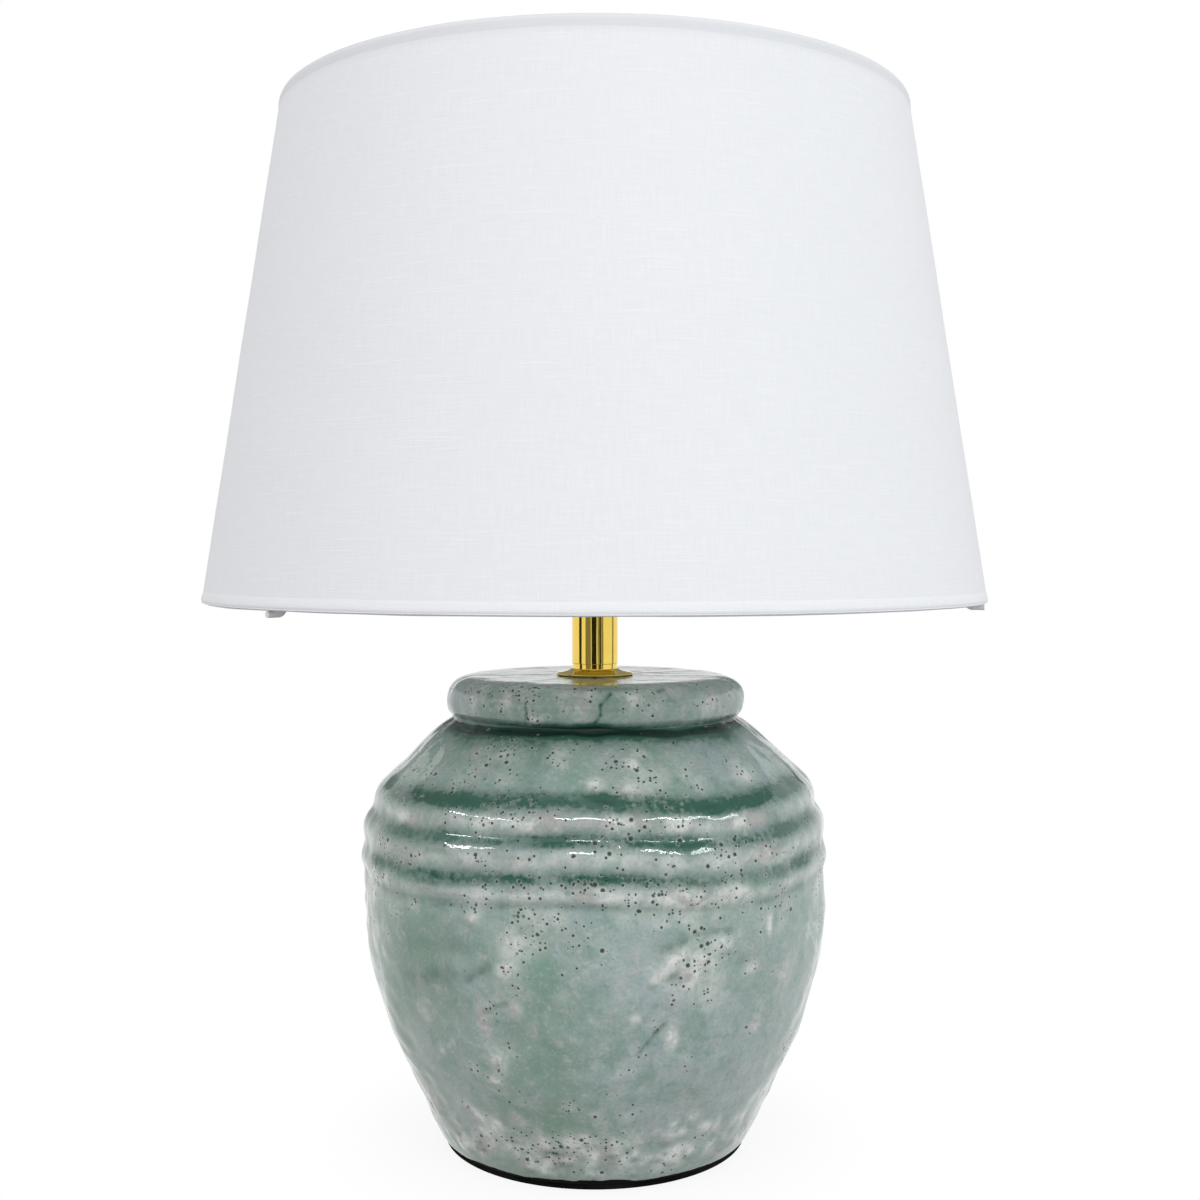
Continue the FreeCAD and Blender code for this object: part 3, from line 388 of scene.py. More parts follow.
def celadon_glaze():
    """Glossy grey-green glaze: pooled in the grooves, thin on the ridges, pitted in groups, with
    painted light on its right side and painted shade on its left side and lower wall.
    """
    f = Finish("celadon_glaze", IOR=1.5)
    pool = f.attribute("pool")
    thin = f.attribute("thin")
    crowd = f.attribute("crowd")
    x, y, z = f.add("ShaderNodeSeparateXYZ", {0: f.place}).outputs
    green = (0.145, 0.275, 0.208)
    # Moss green, used only as painted shade on the left side and the lower wall.
    painted_shade_moss = (0.185, 0.282, 0.205)
    mid = (0.252, 0.348, 0.308)
    # Blue, for the random tone changes and as painted light on the right side.
    blue_and_painted_light = (0.365, 0.432, 0.448)
    rose = (0.425, 0.408, 0.392)
    pale = (0.570, 0.575, 0.550)
    chalk = (0.700, 0.715, 0.690)
    deep = (0.036, 0.112, 0.080)
    deepest = (0.005, 0.022, 0.015)
    pit = (0.006, 0.034, 0.024)
    bare_clay = (0.004, 0.0035, 0.0035)
    cloud = f.noise(19, 4, 0.6)
    drift = f.noise(52, 4, 0.6, distortion=0.4)
    blotch = f.noise(125, 4, 0.62, distortion=0.5)
    fine = f.noise(300, 3, 0.6)
    speck = f.noise(640, 3, 0.6)
    base = f.mix(f.between(cloud, 0.34, 0.62, 0.25, 1.0), green, mid)
    # Painted light and shade: the right side is tinted towards pale blue as painted light; the left
    # side and the lower wall are tinted towards moss green as painted shade.
    base = f.mix(f.between(x, -0.02, 0.11, 0.0, 0.36), base, blue_and_painted_light)
    base = f.mix(f.between(x, -0.02, -0.11, 0.0, 0.42), base, painted_shade_moss)
    base = f.mix(f.between(z, 0.08, 0.02, 0.0, 0.42), base, painted_shade_moss)
    base = f.mix(f.between(f.noise(12, 3), 0.44, 0.64, 0.0, 0.65), base, blue_and_painted_light)
    base = f.mix(f.between(drift, 0.50, 0.72, 0.0, 0.55), base, blue_and_painted_light)
    base = f.mix(f.between(drift, 0.48, 0.28, 0.0, 0.60), base, green)
    base = f.mix(f.between(f.noise(74, 4, 0.6), 0.54, 0.74, 0.0, 0.42), base, rose)
    base = f.mix(f.between(blotch, 0.52, 0.74, 0.0, 0.42), base, pale)
    base = f.mix(f.between(blotch, 0.48, 0.28, 0.0, 0.55), base, green)
    worn = f.math("MULTIPLY", thin, f.between(blotch, 0.34, 0.6, 0.55, 1.1))
    base = f.mix(worn, base, f.mix(f.between(drift, 0.45, 0.62), chalk, rose))
    grain = f.between(fine, 0.50, 0.72, 0.0, 0.32)
    base = f.mix(grain, base, green)
    base = f.mix(f.between(speck, 0.52, 0.75, 0.0, 0.30), base, pale)
    base = f.mix(f.between(speck, 0.48, 0.28, 0.0, 0.34), base, green)
    drips = f.math("MULTIPLY", pool, f.between(fine, 0.36, 0.62, 1.15, 0.72))
    base = f.mix(drips, base, deep)
    darkest = f.between(pool, 1.35, 2.1)
    base = f.mix(f.math("MULTIPLY", darkest, 0.9), base, deepest)
    pits, halo = glaze_pits(f, crowd)
    base = f.mix(f.math("MULTIPLY", halo, 0.30), base, pale)
    base = f.mix(f.math("MULTIPLY", pits, 0.90), base, pit)
    edge = f.math("MULTIPLY_ADD", y, -BARE_EDGE_RISE, BARE_EDGE)
    ragged = f.between(f.noise(45, 4), 0.35, 0.7, -0.0006, 0.0012)
    bare = f.between(f.math("SUBTRACT", f.math("ADD", edge, ragged), z), 0.0, 0.0003)
    base = f.mix(bare, base, bare_clay)
    glazed = f.between(blotch, 0.4, 0.7, 0.05, 0.12)
    gloss = f.math("MAXIMUM", glazed, f.math("MULTIPLY", bare, 0.8))
    waves = f.bump(f.noise(70, 3, 0.5), 0.00035)
    orange_peel = f.bump(f.noise(380, 2, 0.5), 0.00008, onto=waves)
    relief = f.bump(f.math("MULTIPLY", pits, -1.0), 0.0004, onto=orange_peel)
    dulled = f.between(pits, 0.1, 0.7, 0.5, 0.15)
    shine = f.math("MULTIPLY", dulled, f.between(bare, 0, 1, 1, 0.1))
    return f.finish(Base_Color=base, Roughness=gloss, Normal=relief, Specular_IOR_Level=shine)


def glaze_pits(f, crowd):
    """Pinholes of several sizes where the glaze is crowded with them, and pale rings round."""
    masks = []
    rings = []
    for scale, size, share in ((400, 0.17, 0.60), (310, 0.21, 0.20), (600, 0.18, 0.36)):
        cell = f.cells(scale)
        chance = f.add("ShaderNodeSeparateColor", {0: cell.outputs["Color"]}).outputs[0]
        wanted = f.math("LESS_THAN", chance, f.math("MULTIPLY", crowd, share))
        dot = f.between(cell.outputs["Distance"], size * 0.95, size * 2.15, 1.0, 0.0)
        ring = f.between(cell.outputs["Distance"], size * 1.2, size * 4.6, 1.0, 0.0)
        masks.append(f.math("MULTIPLY", dot, wanted))
        rings.append(f.math("MULTIPLY", ring, wanted))
    pits = f.math("MAXIMUM", f.math("MAXIMUM", masks[0], masks[1]), masks[2])
    return pits, f.math("MAXIMUM", rings[0], rings[1])


def polished_brass():
    f = Finish("polished_brass", Metallic=1.0)
    tone = f.mix(f.noise(70, 4), (0.80, 0.56, 0.10), (0.90, 0.68, 0.16))
    lines = f.noise(900, 2, vector=f.stretched(1, 1, 0.02))
    rough = f.between(lines, 0.3, 0.7, 0.045, 0.11)
    return f.finish(Base_Color=tone, Roughness=rough, Normal=f.bump(lines, 0.00002))


def plain(name, dark, light, rough, metallic=0.0, scale=220.0, grain=0.00006, shine=0.5):
    """A finish of two close tones with a fine grain; used for the small pieces."""
    f = Finish(name, Metallic=metallic, Specular_IOR_Level=shine)
    spots = f.noise(scale, 4, 0.6)
    tone = f.mix(f.between(f.noise(scale / 9, 3), 0.35, 0.65), dark, light)
    gloss = f.between(spots, 0.3, 0.7, rough * 0.8, rough * 1.25)
    return f.finish(Base_Color=tone, Roughness=gloss, Normal=f.bump(spots, grain))


def linen(name, light):
    """White plain-weave linen: crossing threads, with thicker slubs here and there, and painted
    shade darkening it towards the top rim.
    """
    f = Finish(name, Roughness=0.92, Sheen_Weight=0.3, Sheen_Roughness=0.5)
    x, y, z = f.add("ShaderNodeSeparateXYZ", {0: f.place}).outputs
    angle = f.math("ARCTAN2", x, y)
    arm = f.math("MULTIPLY", angle, 0.18)
    flat = f.add("ShaderNodeCombineXYZ", {0: arm, 1: z}).outputs[0]
    weft = f.noise(1.0, 3, 0.6, vector=f.stretched(70, 1500, 0, flat))
    warp = f.noise(1.0, 3, 0.6, vector=f.stretched(1500, 70, 0, flat))
    slub = f.noise(1.0, 2, 0.5, vector=f.stretched(25, 700, 0, flat))
    weave = f.math("ADD", f.math("ADD", weft, warp), f.between(slub, 0.6, 0.75, 0.0, 0.6))
    shade = tuple(c * 0.955 for c in light)
    tone = f.mix(f.between(weave, 0.75, 1.3), shade, light)
    tone = f.mix(f.between(f.noise(9, 3), 0.4, 0.7, 0.0, 0.25), tone, shade)
    # Painted shade: the linen turns darker just below the top rim.
    painted_rim_shade = f.between(z, PAINTED_RIM_SHADE_FROM, PAINTED_RIM_SHADE_TO, 0.0, 0.75)
    tone = f.mix(painted_rim_shade, tone, tuple(c * 0.84 for c in light))
    return f.finish(Base_Color=tone, Normal=f.bump(weave, 0.00009, 0.6))


def make_finishes():
    return {
        "celadon_glaze": celadon_glaze(),
        "brass": polished_brass(),
        "felt": plain(
            "felt", (0.004, 0.004, 0.004), (0.010, 0.010, 0.010), 0.95, grain=0.0003, shine=0.05,
        ),
        "black_moulding": plain(
            "black_moulding", (0.016, 0.016, 0.017), (0.028, 0.028, 0.03), 0.34,
        ),
        "zinc_steel": plain("zinc_steel", (0.5, 0.5, 0.49), (0.64, 0.64, 0.62), 0.3, 1.0),
        "rubber": plain("rubber", (0.02, 0.02, 0.02), (0.035, 0.035, 0.035), 0.8),
        "contact_brass": plain(
            "contact_brass", (0.62, 0.46, 0.2), (0.75, 0.58, 0.28), 0.28, 1.0,
        ),
        "white_wire": plain("white_wire", (0.74, 0.74, 0.72), (0.82, 0.82, 0.80), 0.42),
        "linen": linen("linen", (0.812, 0.826, 0.857)),
        "hem_linen": linen("hem_linen", (0.818, 0.832, 0.862)),
        "liner": plain(
            "liner", (0.83, 0.83, 0.82), (0.855, 0.855, 0.845), 0.5, scale=500.0, grain=0.00002,
        ),
        "cap_nickel": plain("cap_nickel", (0.66, 0.65, 0.61), (0.78, 0.77, 0.74), 0.2, 1.0),
        "insulator_glass": plain(
            "insulator_glass", (0.02, 0.02, 0.03), (0.05, 0.05, 0.06), 0.12,
        ),
        "bulb_body": plain("bulb_body", (0.78, 0.78, 0.78), (0.84, 0.84, 0.84), 0.4),
        "opal": plain("opal", (0.84, 0.84, 0.82), (0.88, 0.88, 0.86), 0.3),
        "circuit_board": plain("circuit_board", (0.03, 0.16, 0.07), (0.05, 0.22, 0.1), 0.3),
    }


def dress_frame(finishes):
    """Every CAD node that stays in sight gets the finish of its slot."""
    slots = {part["node"]: part["material_slot"] for part in frame["record"]["subparts"]}
    for name, node in frame["nodes"].items():
        material = finishes[slots[name]]
        if not node.material_slots:
            node.data.materials.append(material)
        for place in node.material_slots:
            place.material = material


# ---------------------------------------------------------------- jar

class Glaze:
    """The jar's surface as a grid: its relief, and how the glaze lies on it."""

    def __init__(self):
        self.outline = smooth_curve(JAR_OUTLINE, JAR_ROWS)
        self.angle = np.arange(JAR_TURNS)[None, :] / JAR_TURNS * TURN
        self.radius = self.outline[:, :1]
        self.level = self.outline[:, 1:]
        full = np.zeros((JAR_ROWS, JAR_TURNS))
        self.relief = full.copy()
        self.pool = full.copy()
        self.thin = full.copy()
        self.crowd = full.copy()
        self.draw = np.random.default_rng(MARK_SEED)
        # The thrown bands aren't quite level: how far they rise and fall round the jar.
        self.unlevel = wander(self.angle, 0 * self.level, seed=4, across=260, along=400)

    def stamp(self, field, heading, level, wide, tall, amount):
        """Add a soft spot to a field."""
        near = np.abs(self.level[:, 0] - level) < 3 * tall
        near &= self.radius[:, 0] > LIP_RADIUS
        start = math.radians(heading) - TURN / 4
        gap = np.mod(self.angle - start + math.pi, TURN) - math.pi
        across = gap * self.radius[near] / wide
        up = (self.level[near] - level) / tall
        field[near] += amount * np.exp(-(across**2) - up**2)

    def bands(self):
        """Pools in the grooves and thin glaze on the ridges."""
        level = self.level + 0.9 * self.unlevel
        patchy = 0.30 * wander(self.angle, self.level, seed=7, across=45, along=30)
        for height, share, width, uneven in POOLS:
            band = share * np.exp(-(((level - height) / width) ** 2))
            self.pool += band * np.clip(0.95 + uneven * patchy, 0.5, 1.3)
        for height, width in RIDGES:
            self.thin += RIDGE_THIN * np.exp(-(((level - height) / width) ** 2))

    def pinholes(self, heading, level, spread, count):
        share = min(1.4, 2.6 * count / (spread + 1.5) ** 2 + 0.25)
        self.stamp(self.crowd, heading, level, spread + 1, 0.75 * spread + 1, share)
        self.stamp(self.thin, heading, level, spread + 2, 0.8 * spread + 2, 0.28)

    def lump(self, heading, level, wide, tall, amount):
        self.stamp(self.relief, heading, level, wide, tall, 0.9 * amount)
        self.stamp(self.thin, heading, level, 0.9 * wide, 0.9 * tall, 1.5 * amount)

    def stroke(self, heading, level, heading_end, level_end, width, amount):
        length = math.hypot((heading_end - heading) * 2, level_end - level)
        steps = max(2, round(length / width))
        for step in range(steps + 1):
            share = step / steps
            spot = (heading + (heading_end - heading) * share, level + (level_end - level) * share)
            self.stamp(self.pool, *spot, width, width, amount * self.draw.uniform(0.2, 0.6))
            self.stamp(self.relief, *spot, width, width, -0.25 * amount)

    def place_marks(self):
        for group in PINHOLES:
            self.pinholes(*group)
        for spot in LUMPS:
            self.lump(*spot)
        for line in STROKES:
            self.stroke(*line)

    def scatter_marks(self):
        """The same kinds of mark at random, where none is listed."""
        draw = self.draw
        levels = [235, 212, 198, 186, 168, 153, 142, 130, 112, 60, 25]
        for _ in range(210):
            heading = draw.uniform(PLACED_HALF_TURN, 360 - PLACED_HALF_TURN)
            level = draw.choice(levels) + draw.normal(0, 6)
            self.pinholes(heading, level, draw.uniform(2, 8), draw.integers(1, 9))
        for _ in range(110):
            heading = draw.uniform(PLACED_HALF_TURN, 360 - PLACED_HALF_TURN)
            level = 12 + 200 * draw.beta(1.1, 1.5)
            wide = draw.uniform(2.5, 9)
            tall = wide * draw.uniform(0.6, 1.4)
            self.lump(heading, level, wide, tall, draw.uniform(0.1, 0.55))
        for _ in range(22):
            heading = draw.uniform(PLACED_HALF_TURN, 350 - PLACED_HALF_TURN)
            level = draw.uniform(20, 135)
            ends = (heading, level, heading + draw.normal(0, 5), level + draw.normal(0, 7))
            self.stroke(*ends, draw.uniform(1.2, 3.5), draw.uniform(0.4, 0.8))

    def crust(self):
        """Small close lumps low on the wall, where the glaze gathered as it ran."""
        draw = self.draw
        for _ in range(330):
            level = 9 + 30 * draw.beta(1.3, 1.9)
            wide = draw.uniform(1.5, 3.6)
            spot = (draw.uniform(0, 360), level, wide, wide * draw.uniform(0.8, 1.5))
            amount = draw.uniform(0.1, 0.65)
            self.stamp(self.thin, *spot, 1.5 * amount)
            self.stamp(self.relief, *spot, 0.4 * amount)
            if draw.uniform() < 0.45:
                self.stamp(self.pool, spot[0], level - 1.5 * wide, wide, 0.7 * wide, 0.45)

    def roughen(self):
        """Slow waves and faint dents over the whole jar, none at its foot or top face."""
        draw = self.draw
        for _ in range(260):
            level = 15 + 195 * draw.beta(1.1, 1.6)
            spot = (draw.uniform(0, 360), level, draw.uniform(3, 8), draw.uniform(3, 8))
            self.stamp(self.relief, *spot, draw.normal(0.0, 0.14))
        self.relief += 0.40 * wander(self.angle, self.level, seed=3, across=100, along=70)
        self.relief += 0.10 * wander(self.angle, self.level, seed=8, across=30, along=22)
        self.relief *= np.clip((self.level - 4) / 10, 0, 1)
        self.relief *= np.clip((241.5 - self.level) / 6, 0.09, 1)

    def surface(self):
        """The outer face's points, pushed out along its own slope."""
        slope = np.gradient(self.outline, axis=0)
        slope /= np.linalg.norm(slope, axis=1)[:, None]
        bands = np.clip((self.level - 120) / 20, 0, 1) * np.clip((212 - self.level) / 12, 0, 1)
        lift = 0.7 * self.unlevel * bands
        radius = self.radius + self.relief * slope[:, 1:]
        height = self.level - self.relief * slope[:, :1] - lift
        return spin(radius, height, JAR_TURNS)


def make_jar(finishes):
    glaze = Glaze()
    glaze.bands()
    glaze.place_marks()
    glaze.scatter_marks()
    glaze.crust()
    glaze.roughen()
    inner = np.array(JAR_INSIDE)
    inside = spin(inner[:, 0], inner[:, 1], JAR_TURNS)
    points = np.vstack([glaze.surface(), inside])
    rows = JAR_ROWS + len(inner)
    jar = add_piece(
        "glazed_jar", points, grid_faces(rows, JAR_TURNS), "base",
        finishes["celadon_glaze"], ["jar"],
    )
    rest = np.zeros(len(inner) * JAR_TURNS)
    fields = {
        "pool": (glaze.pool, MOST_POOL),
        "thin": (glaze.thin, MOST_THIN),
        "crowd": (glaze.crowd, MOST_CROWD),
    }
    for name, (field, most) in fields.items():
        values = np.concatenate([np.clip(field, 0, most).ravel(), rest])
        layer = jar.data.attributes.new(name, "FLOAT", "POINT")
        layer.data.foreach_set("value", values[: len(jar.data.vertices)].astype(np.float32))


def make_felt(finishes):
    outline = [
        (0.0, 0.0), *arc((78.0, 0.4), 0.4, -90, 0, 4), *arc((77.9, 2.0), 0.5, 0, 90, 4), (0.0, 2.5),
    ]
    turned("felt_foot", outline, 240, "base", finishes["felt"], ["felt_pad"])


# ---------------------------------------------------------------- brass neck

def make_neck(finishes):
    flange = [
        (5.05, 241.62), (18.7, 241.62), (18.75, 241.15), (19.5, 241.08),
        *arc((19.45, 241.7), 0.55, -60, 80, 8),
        (18.6, 242.45), (16.8, 242.75), (14.6, 243.2), (13.0, 243.9), (12.5, 244.35),
        (11.75, 244.5), (11.65, 245.2), (11.7, 247.05), (11.2, 247.1), (11.15, 252.1),
        (5.05, 252.1),
    ]
    turned("brass_flange", flange, 192, "base", finishes["brass"], ["neck_flange"])
    tube = [
        (11.2, 247.15), (11.8, 247.15), (12.0, 247.35), (12.0, 255.0), (12.0, 265.0),
        (12.0, 275.0), (12.0, 283.8), (11.8, 284.0), (11.2, 284.0),
    ]
    turned("brass_tube", tube, 192, "base", finishes["brass"], ["neck_tube"])


# ---------------------------------------------------------------- shade

def shade_radius(height):
    return SHADE_RADIUS - (height - SHADE_LOW) * SHADE_TAPER


def make_cover(finishes):
    """The linen: one sheet round the shade, overlapping in a glued seam at the back."""
    columns = COVER_COLUMNS
    rows = COVER_ROWS
    low = SHADE_LOW + COVER_SET_BACK
    high = SHADE_LOW + SHADE_HEIGHT - COVER_SET_BACK
    seam = TURN / 4
    share = SEAM_OVERLAP / SHADE_RADIUS
    sweep = np.linspace(seam, seam + TURN + share, columns + 1)
    past_seam = (sweep - seam - TURN + SEAM_SOFTNESS) / SEAM_SOFTNESS
    step_up = 0.5 * (1 + np.tanh(past_seam)) * (COVER_THICK + 0.05)
    height = np.linspace(low, high, rows)[:, None] + 0 * sweep
    wave = 0.10 * wander(sweep, height, seed=21, across=160, along=120)
    wave = wave * np.sin(np.pi * (height - low) / (high - low))
    under = COVER_DEPTH + COVER_THICK + COVER_CLEARANCE
    inner = shade_radius(height) - under + 0.1 + step_up + np.clip(wave, -0.08, 0.2)
    points = []
    for radius in (inner, inner + COVER_THICK):
        places = [radius * np.cos(sweep), radius * np.sin(sweep), height]
        points.append(np.stack(places, axis=-1).reshape(-1, 3) * MM)
    width = columns + 1
    row, column = np.meshgrid(np.arange(rows - 1), np.arange(columns), indexing="ij")
    first = (row * width + column).ravel()
    quad = np.stack([first, first + 1, first + width + 1, first + width], axis=1)
    count = rows * width
    faces = [*quad, *(quad[:, ::-1] + count)]
    rim = [*range(width), *range(width - 1 + width, count, width)]
    rim += [*range(count - 2, count - width - 1, -1), *range(count - 2 * width, 0, -width)]
    for here, ahead in zip(rim, rim[1:] + rim[:1]):
        faces.append((here, ahead, ahead + count, here + count))
    cover = add_piece(
        "linen_cover", np.vstack(points), faces, "shade", finishes["linen"],
        ["shade_fabric"],
    )


def make_hem(name, edge, way, material, node):
    """Linen folded round a wire ring: outer leg, rolled edge and inner leg."""
    columns = 360
    angle = np.arange(columns) / columns * TURN
    section = [(HEM_THICK, HEM_HEIGHT), (0.36, 5.6), (0.2, 4.6), (0.07, 3.6), (0.0, HEM_FOLD)]
    for a in np.linspace(0.2, 1.4, 6):
        section.append((HEM_FOLD - HEM_FOLD * math.cos(a), HEM_FOLD - HEM_FOLD * math.sin(a)))
    for a in np.linspace(1.7, 0.2, 6):
        across = HEM_DEPTH - HEM_INNER_FOLD + HEM_INNER_FOLD * math.cos(a)
        section.append((across, HEM_FOLD - HEM_FOLD * math.sin(a)))
    section += [(HEM_DEPTH, 2.8), (HEM_DEPTH, HEM_HEIGHT - 0.2), (HEM_DEPTH - 0.3, HEM_HEIGHT)]
    section += [(HEM_DEPTH - 0.5, HEM_HEIGHT - 0.2), (HEM_DEPTH - 0.5, 2.2)]
    section += [(HEM_DEPTH - 1.6, HEM_CLOTH), (1.6, HEM_CLOTH), (0.7, 1.8), (0.5, 3.0)]
    section = np.array(section)
    inset = section[:, :1] + 0 * angle
    rise = section[:, 1:] + 0 * angle
    uneven = 0.10 * wander(angle, 0 * rise, seed=HEM_SEED, across=60, along=400)
    height = edge + way * (rise + uneven * (rise < 4.0))
    radius = shade_radius(edge) - way * rise * SHADE_TAPER - inset
    points = spin(radius, height, columns)
    add_piece(
        name, points, grid_faces(len(section), columns), "shade", material, [node],
    )


# ---------------------------------------------------------------- bulb

def make_bulb_cap(finishes):
    """The bulb's screw cap, with its rolled right-hand thread."""
    columns = 144
    angle = np.arange(columns) / columns * TURN
    height = np.linspace(CAP_LOW + 0.3, CAP_HIGH, 96)[:, None]
    fade = np.clip((height - CAP_LOW - 0.8) / 2, 0, 1)
    fade = fade * np.clip((CAP_HIGH - 2.5 - height) / 2, 0, 1)
    wave = np.cos(TURN * height / THREAD_PITCH - angle)
    radius = CAP_RADIUS - THREAD_DEPTH * (0.5 - 0.5 * wave) * fade + 0 * angle
    ends = spin([0.5, 11.4], [CAP_LOW, CAP_LOW], columns)
    top = spin([12.2, 0.5], [CAP_HIGH, CAP_HIGH], columns)
    points = np.vstack([ends, spin(radius, height, columns), top])
    add_piece(
        "threaded_bulb_cap", points, grid_faces(len(height) + 4, columns), "bulb",
        finishes["cap_nickel"], ["bulb_cap"],
    )


# ---------------------------------------------------------------- studio

# The soft lamps: (name, place in metres, radiance, colour). They are square and aim at one point.
LAMPS = [
    ("key", (1.5, -1.8, 0.95), 4.0, (0.97, 0.99, 1.0)),
    ("fill", (-1.9, -1.5, 0.9), 2.3, (1.0, 0.985, 0.985)),
]
LAMP_SIZE = 1.3
LAMP_AIM = (0, 0, 0.3)
WORLD_LIGHT = 0.84
WORLD_SEEN = 1.0
FLOOR_TONE = (0.30, 0.30, 0.30)
FLOOR_TONE_SEEN = (0.95, 0.95, 0.95)
FLOOR_RADIUS = 6.0
# The floor turns from shaded to plain white between these distances, in metres.
SHADOW_FROM = 0.080
SHADOW_TO = 0.16
SHADOW_FADE = 0.88


def area_light(name, place, radiance, colour):
    """A flat lamp of a stated radiance that mirrors and the camera don't see."""
    lamp = bpy.data.lights.new(name, "AREA")
    lamp.shape = "RECTANGLE"
    lamp.size = LAMP_SIZE
    lamp.size_y = LAMP_SIZE
    lamp.energy = radiance * math.pi * LAMP_SIZE * LAMP_SIZE
    lamp.color = colour
    holder = bpy.data.objects.new(name, lamp)
    bpy.context.scene.collection.objects.link(holder)
    holder.location = place
    gaze = Vector(LAMP_AIM) - Vector(place)
    holder.rotation_euler = gaze.to_track_quat("-Z", "Y").to_euler()
    holder.visible_glossy = False
    holder.visible_camera = False


def make_world():
    """White where it is seen or mirrored, softer as a source of light."""
    world = bpy.data.worlds.new("studio")
    bpy.context.scene.world = world
    world.use_nodes = True
    nodes = world.node_tree.nodes
    links = world.node_tree.links
    nodes.clear()
    path = nodes.new("ShaderNodeLightPath")
    seen = nodes.new("ShaderNodeMath")
    seen.operation = "MAXIMUM"
    links.new(path.outputs["Is Camera Ray"], seen.inputs[0])
    links.new(path.outputs["Is Transmission Ray"], seen.inputs[1])
    either = nodes.new("ShaderNodeMath")
    either.operation = "MAXIMUM"
    links.new(seen.outputs[0], either.inputs[0])
    links.new(path.outputs["Is Glossy Ray"], either.inputs[1])
    strength = nodes.new("ShaderNodeMapRange")
    strength.inputs[3].default_value = WORLD_LIGHT
    strength.inputs[4].default_value = WORLD_SEEN
    links.new(either.outputs[0], strength.inputs[0])
    back = nodes.new("ShaderNodeBackground")
    back.inputs[0].default_value = (1.0, 1.0, 1.0, 1.0)
    links.new(strength.outputs[0], back.inputs[1])
    output = nodes.new("ShaderNodeOutputWorld")
    links.new(back.outputs[0], output.inputs[0])


def make_floor():
    """A white table top that fades to plain white away from the lamp's soft shadow."""
    f = Finish("white_floor", Roughness=0.9)
    path = f.add("ShaderNodeLightPath")
    seen = f.math("MAXIMUM", path.outputs["Is Camera Ray"], path.outputs["Is Glossy Ray"])
    tone = f.mix(seen, FLOOR_TONE, FLOOR_TONE_SEEN)
    f.finish(Base_Color=tone)
    reach = f.add("ShaderNodeVectorMath", {0: f.place}, operation="LENGTH").outputs["Value"]
    fade = f.between(reach, SHADOW_FROM, SHADOW_TO, SHADOW_FADE, 1.0)
    glow = f.add("ShaderNodeEmission", {"Color": (1, 1, 1), "Strength": 1.0}).outputs[0]
    mixed = f.add("ShaderNodeMixShader")
    f.put(mixed.inputs[0], f.math("MULTIPLY", seen, fade))
    f.links.new(f.shader.outputs[0], mixed.inputs[1])
    f.links.new(glow, mixed.inputs[2])
    output = next(n for n in f.nodes if n.type == "OUTPUT_MATERIAL")
    f.links.new(mixed.outputs[0], output.inputs["Surface"])
    bpy.ops.mesh.primitive_circle_add(vertices=96, radius=FLOOR_RADIUS, fill_type="NGON")
    floor = bpy.context.object
    floor.name = "floor"
    floor.data.materials.append(f.material)


# Cards that only mirrors see: (heading, half width, tone), headings from the camera's side.
CARDS = [
    (-77.5, 8.0, 0.03), (-34.0, 13.5, 0.34), (-3.6, 12.8, 0.015), (16.0, 2.2, 0.30),
    (26.0, 5.3, 0.03), (38.0, 4.3, 0.36), (101.5, 5.5, 0.45),
]
CARD_DISTANCE = 1.6
CARD_HEIGHT = 0.5


def only_mirrored(name, corners, material):
    """A flat card that shows in mirrors and nowhere else."""
    mesh = bpy.data.meshes.new(name)
    mesh.from_pydata(corners, [], [(0, 1, 2, 3)])
    mesh.materials.append(material)
    card = bpy.data.objects.new(name, mesh)
    bpy.context.scene.collection.objects.link(card)
    card.visible_camera = False
    card.visible_diffuse = False
    card.visible_shadow = False
    card.visible_transmission = False


def stand_cards():
    """Dim upright cards round the camera, as a real room shows in the polished brass."""
    for number, (heading, half_width, tone) in enumerate(CARDS):
        finish = Finish(f"card_{number}", Base_Color=(tone,) * 3, Roughness=1.0).material
        corners = []
        for side in (-1, 1):
            a = math.radians(heading + side * half_width - 90)
            for z in (0.0, CARD_HEIGHT):
                corners.append((CARD_DISTANCE * math.cos(a), CARD_DISTANCE * math.sin(a), z))
        order = [corners[k] for k in (0, 2, 3, 1)]
        only_mirrored(f"card_{number}", order, finish)


# Highlights on the upper grooves. Each is the mirror image of a bright strip that only mirrors
# see: (heading on the jar of its two ends, tilt of the glaze there, half height of the strip,
# strength), all angles in degrees.
HIGHLIGHTS = [
    (-35, -30, 28, 1.6, 34), (-28, -22, 28, 1.3, 30), (-6, 1, 28, 1.9, 36),
    (13, 20, 28, 1.5, 30), (23, 29, 29, 1.2, 24), (23, 29, 26, 1.2, 18), (23, 24, 27, 4.5, 18),
]
# Radius and height of the grooves in metres.
GROOVE_RADIUS = 0.1175
GROOVE_HEIGHT = 0.166
# Fainter strips beside and behind: (heading and elevation of both ends, half height, strength).
GLOWS = [
    (-126, -27, -124, -27, 9, 1.4), (124, -27, 126, -27, 9, 1.7), (145, 17, 215, 17, 9, 0.30),
]
# The strips hang on a sphere, or just above the floor where that is nearer.
STRIP_DISTANCE = 1.5
STRIP_CENTRE = (0.0, 0.0, 0.18)
STRIP_ABOVE_FLOOR = 0.98
STRIP_TINT = (0.95, 0.98, 1.0)


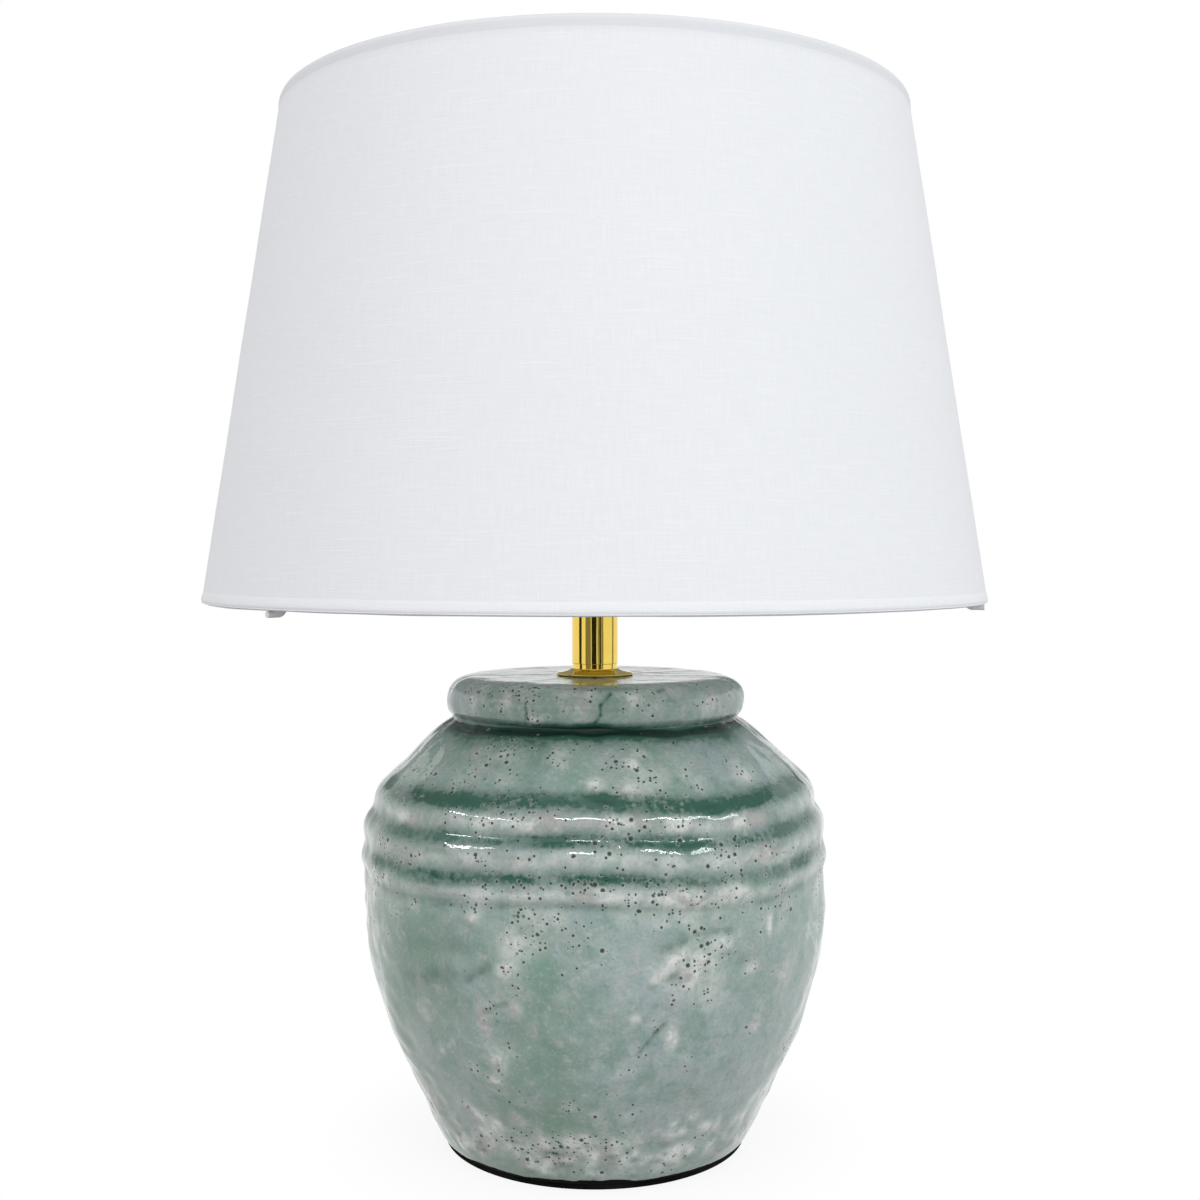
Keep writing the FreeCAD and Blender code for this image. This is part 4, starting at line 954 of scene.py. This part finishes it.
def mirrored_from(heading, tilt):
    """Heading and elevation of what the camera sees mirrored at a place on the grooves."""
    a = math.radians(heading)
    t = math.radians(tilt)
    place = Vector((GROOVE_RADIUS * math.sin(a), -GROOVE_RADIUS * math.cos(a), GROOVE_HEIGHT))
    normal = Vector((math.cos(t) * math.sin(a), -math.cos(t) * math.cos(a), math.sin(t)))
    ray = (place - Vector(CAMERA_PLACE) * MM).normalized().reflect(normal)
    start = place - Vector(STRIP_CENTRE)
    half = start.dot(ray)
    reach = math.sqrt(half**2 - start.length_squared + STRIP_DISTANCE**2) - half
    met = start + reach * ray
    rise = math.asin(met.z / STRIP_DISTANCE)
    return math.degrees(math.atan2(met.x, -met.y)), math.degrees(rise)


def strip_corner(heading, rise):
    """A point on the strips' sphere, or on the floor where that comes first."""
    a = math.radians(heading - 90)
    e = math.radians(rise)
    to_floor = STRIP_ABOVE_FLOOR * STRIP_CENTRE[2] / max(1e-6, -math.sin(e))
    reach = min(STRIP_DISTANCE, to_floor)
    out = (math.cos(a) * math.cos(e), math.sin(a) * math.cos(e), math.sin(e))
    return [centre + reach * way for centre, way in zip(STRIP_CENTRE, out)]


def hang_strips():
    strips = [
        (*mirrored_from(first, tilt), *mirrored_from(last, tilt), half, strength)
        for first, last, tilt, half, strength in HIGHLIGHTS
    ]
    for number, (first, rise, last, rise_last, half, strength) in enumerate(strips + GLOWS):
        finish = Finish(
            f"strip_{number}", Base_Color=(0, 0, 0), Emission_Color=STRIP_TINT,
            Emission_Strength=strength,
        )
        corners = [
            strip_corner(first, rise - half), strip_corner(last, rise_last - half),
            strip_corner(last, rise_last + half), strip_corner(first, rise + half),
        ]
        only_mirrored(f"strip_{number}", corners, finish.material)


def make_lights():
    for lamp in LAMPS:
        area_light(*lamp)


def make_camera():
    camera = bpy.data.cameras.new("camera")
    camera.sensor_width = SENSOR
    camera.lens = FOCAL_PIXELS / PHOTO_WIDTH * SENSOR
    holder = bpy.data.objects.new("camera", camera)
    bpy.context.scene.collection.objects.link(holder)
    holder.location = [v * MM for v in CAMERA_PLACE]
    holder.rotation_euler = (math.pi / 2 - CAMERA_DIP, 0, CAMERA_TURN)
    bpy.context.scene.camera = holder


finishes = make_finishes()
dress_frame(finishes)
make_jar(finishes)
make_felt(finishes)
make_neck(finishes)
make_cover(finishes)
make_hem("rolled_bottom_hem", SHADE_LOW, 1, finishes["hem_linen"], "bottom_hem")
make_hem("rolled_top_hem", SHADE_LOW + SHADE_HEIGHT, -1, finishes["linen"], "top_hem")
make_bulb_cap(finishes)
make_world()
make_floor()
stand_cards()
hang_strips()
make_lights()
make_camera()
bpy.context.scene.view_settings.view_transform = "Standard"
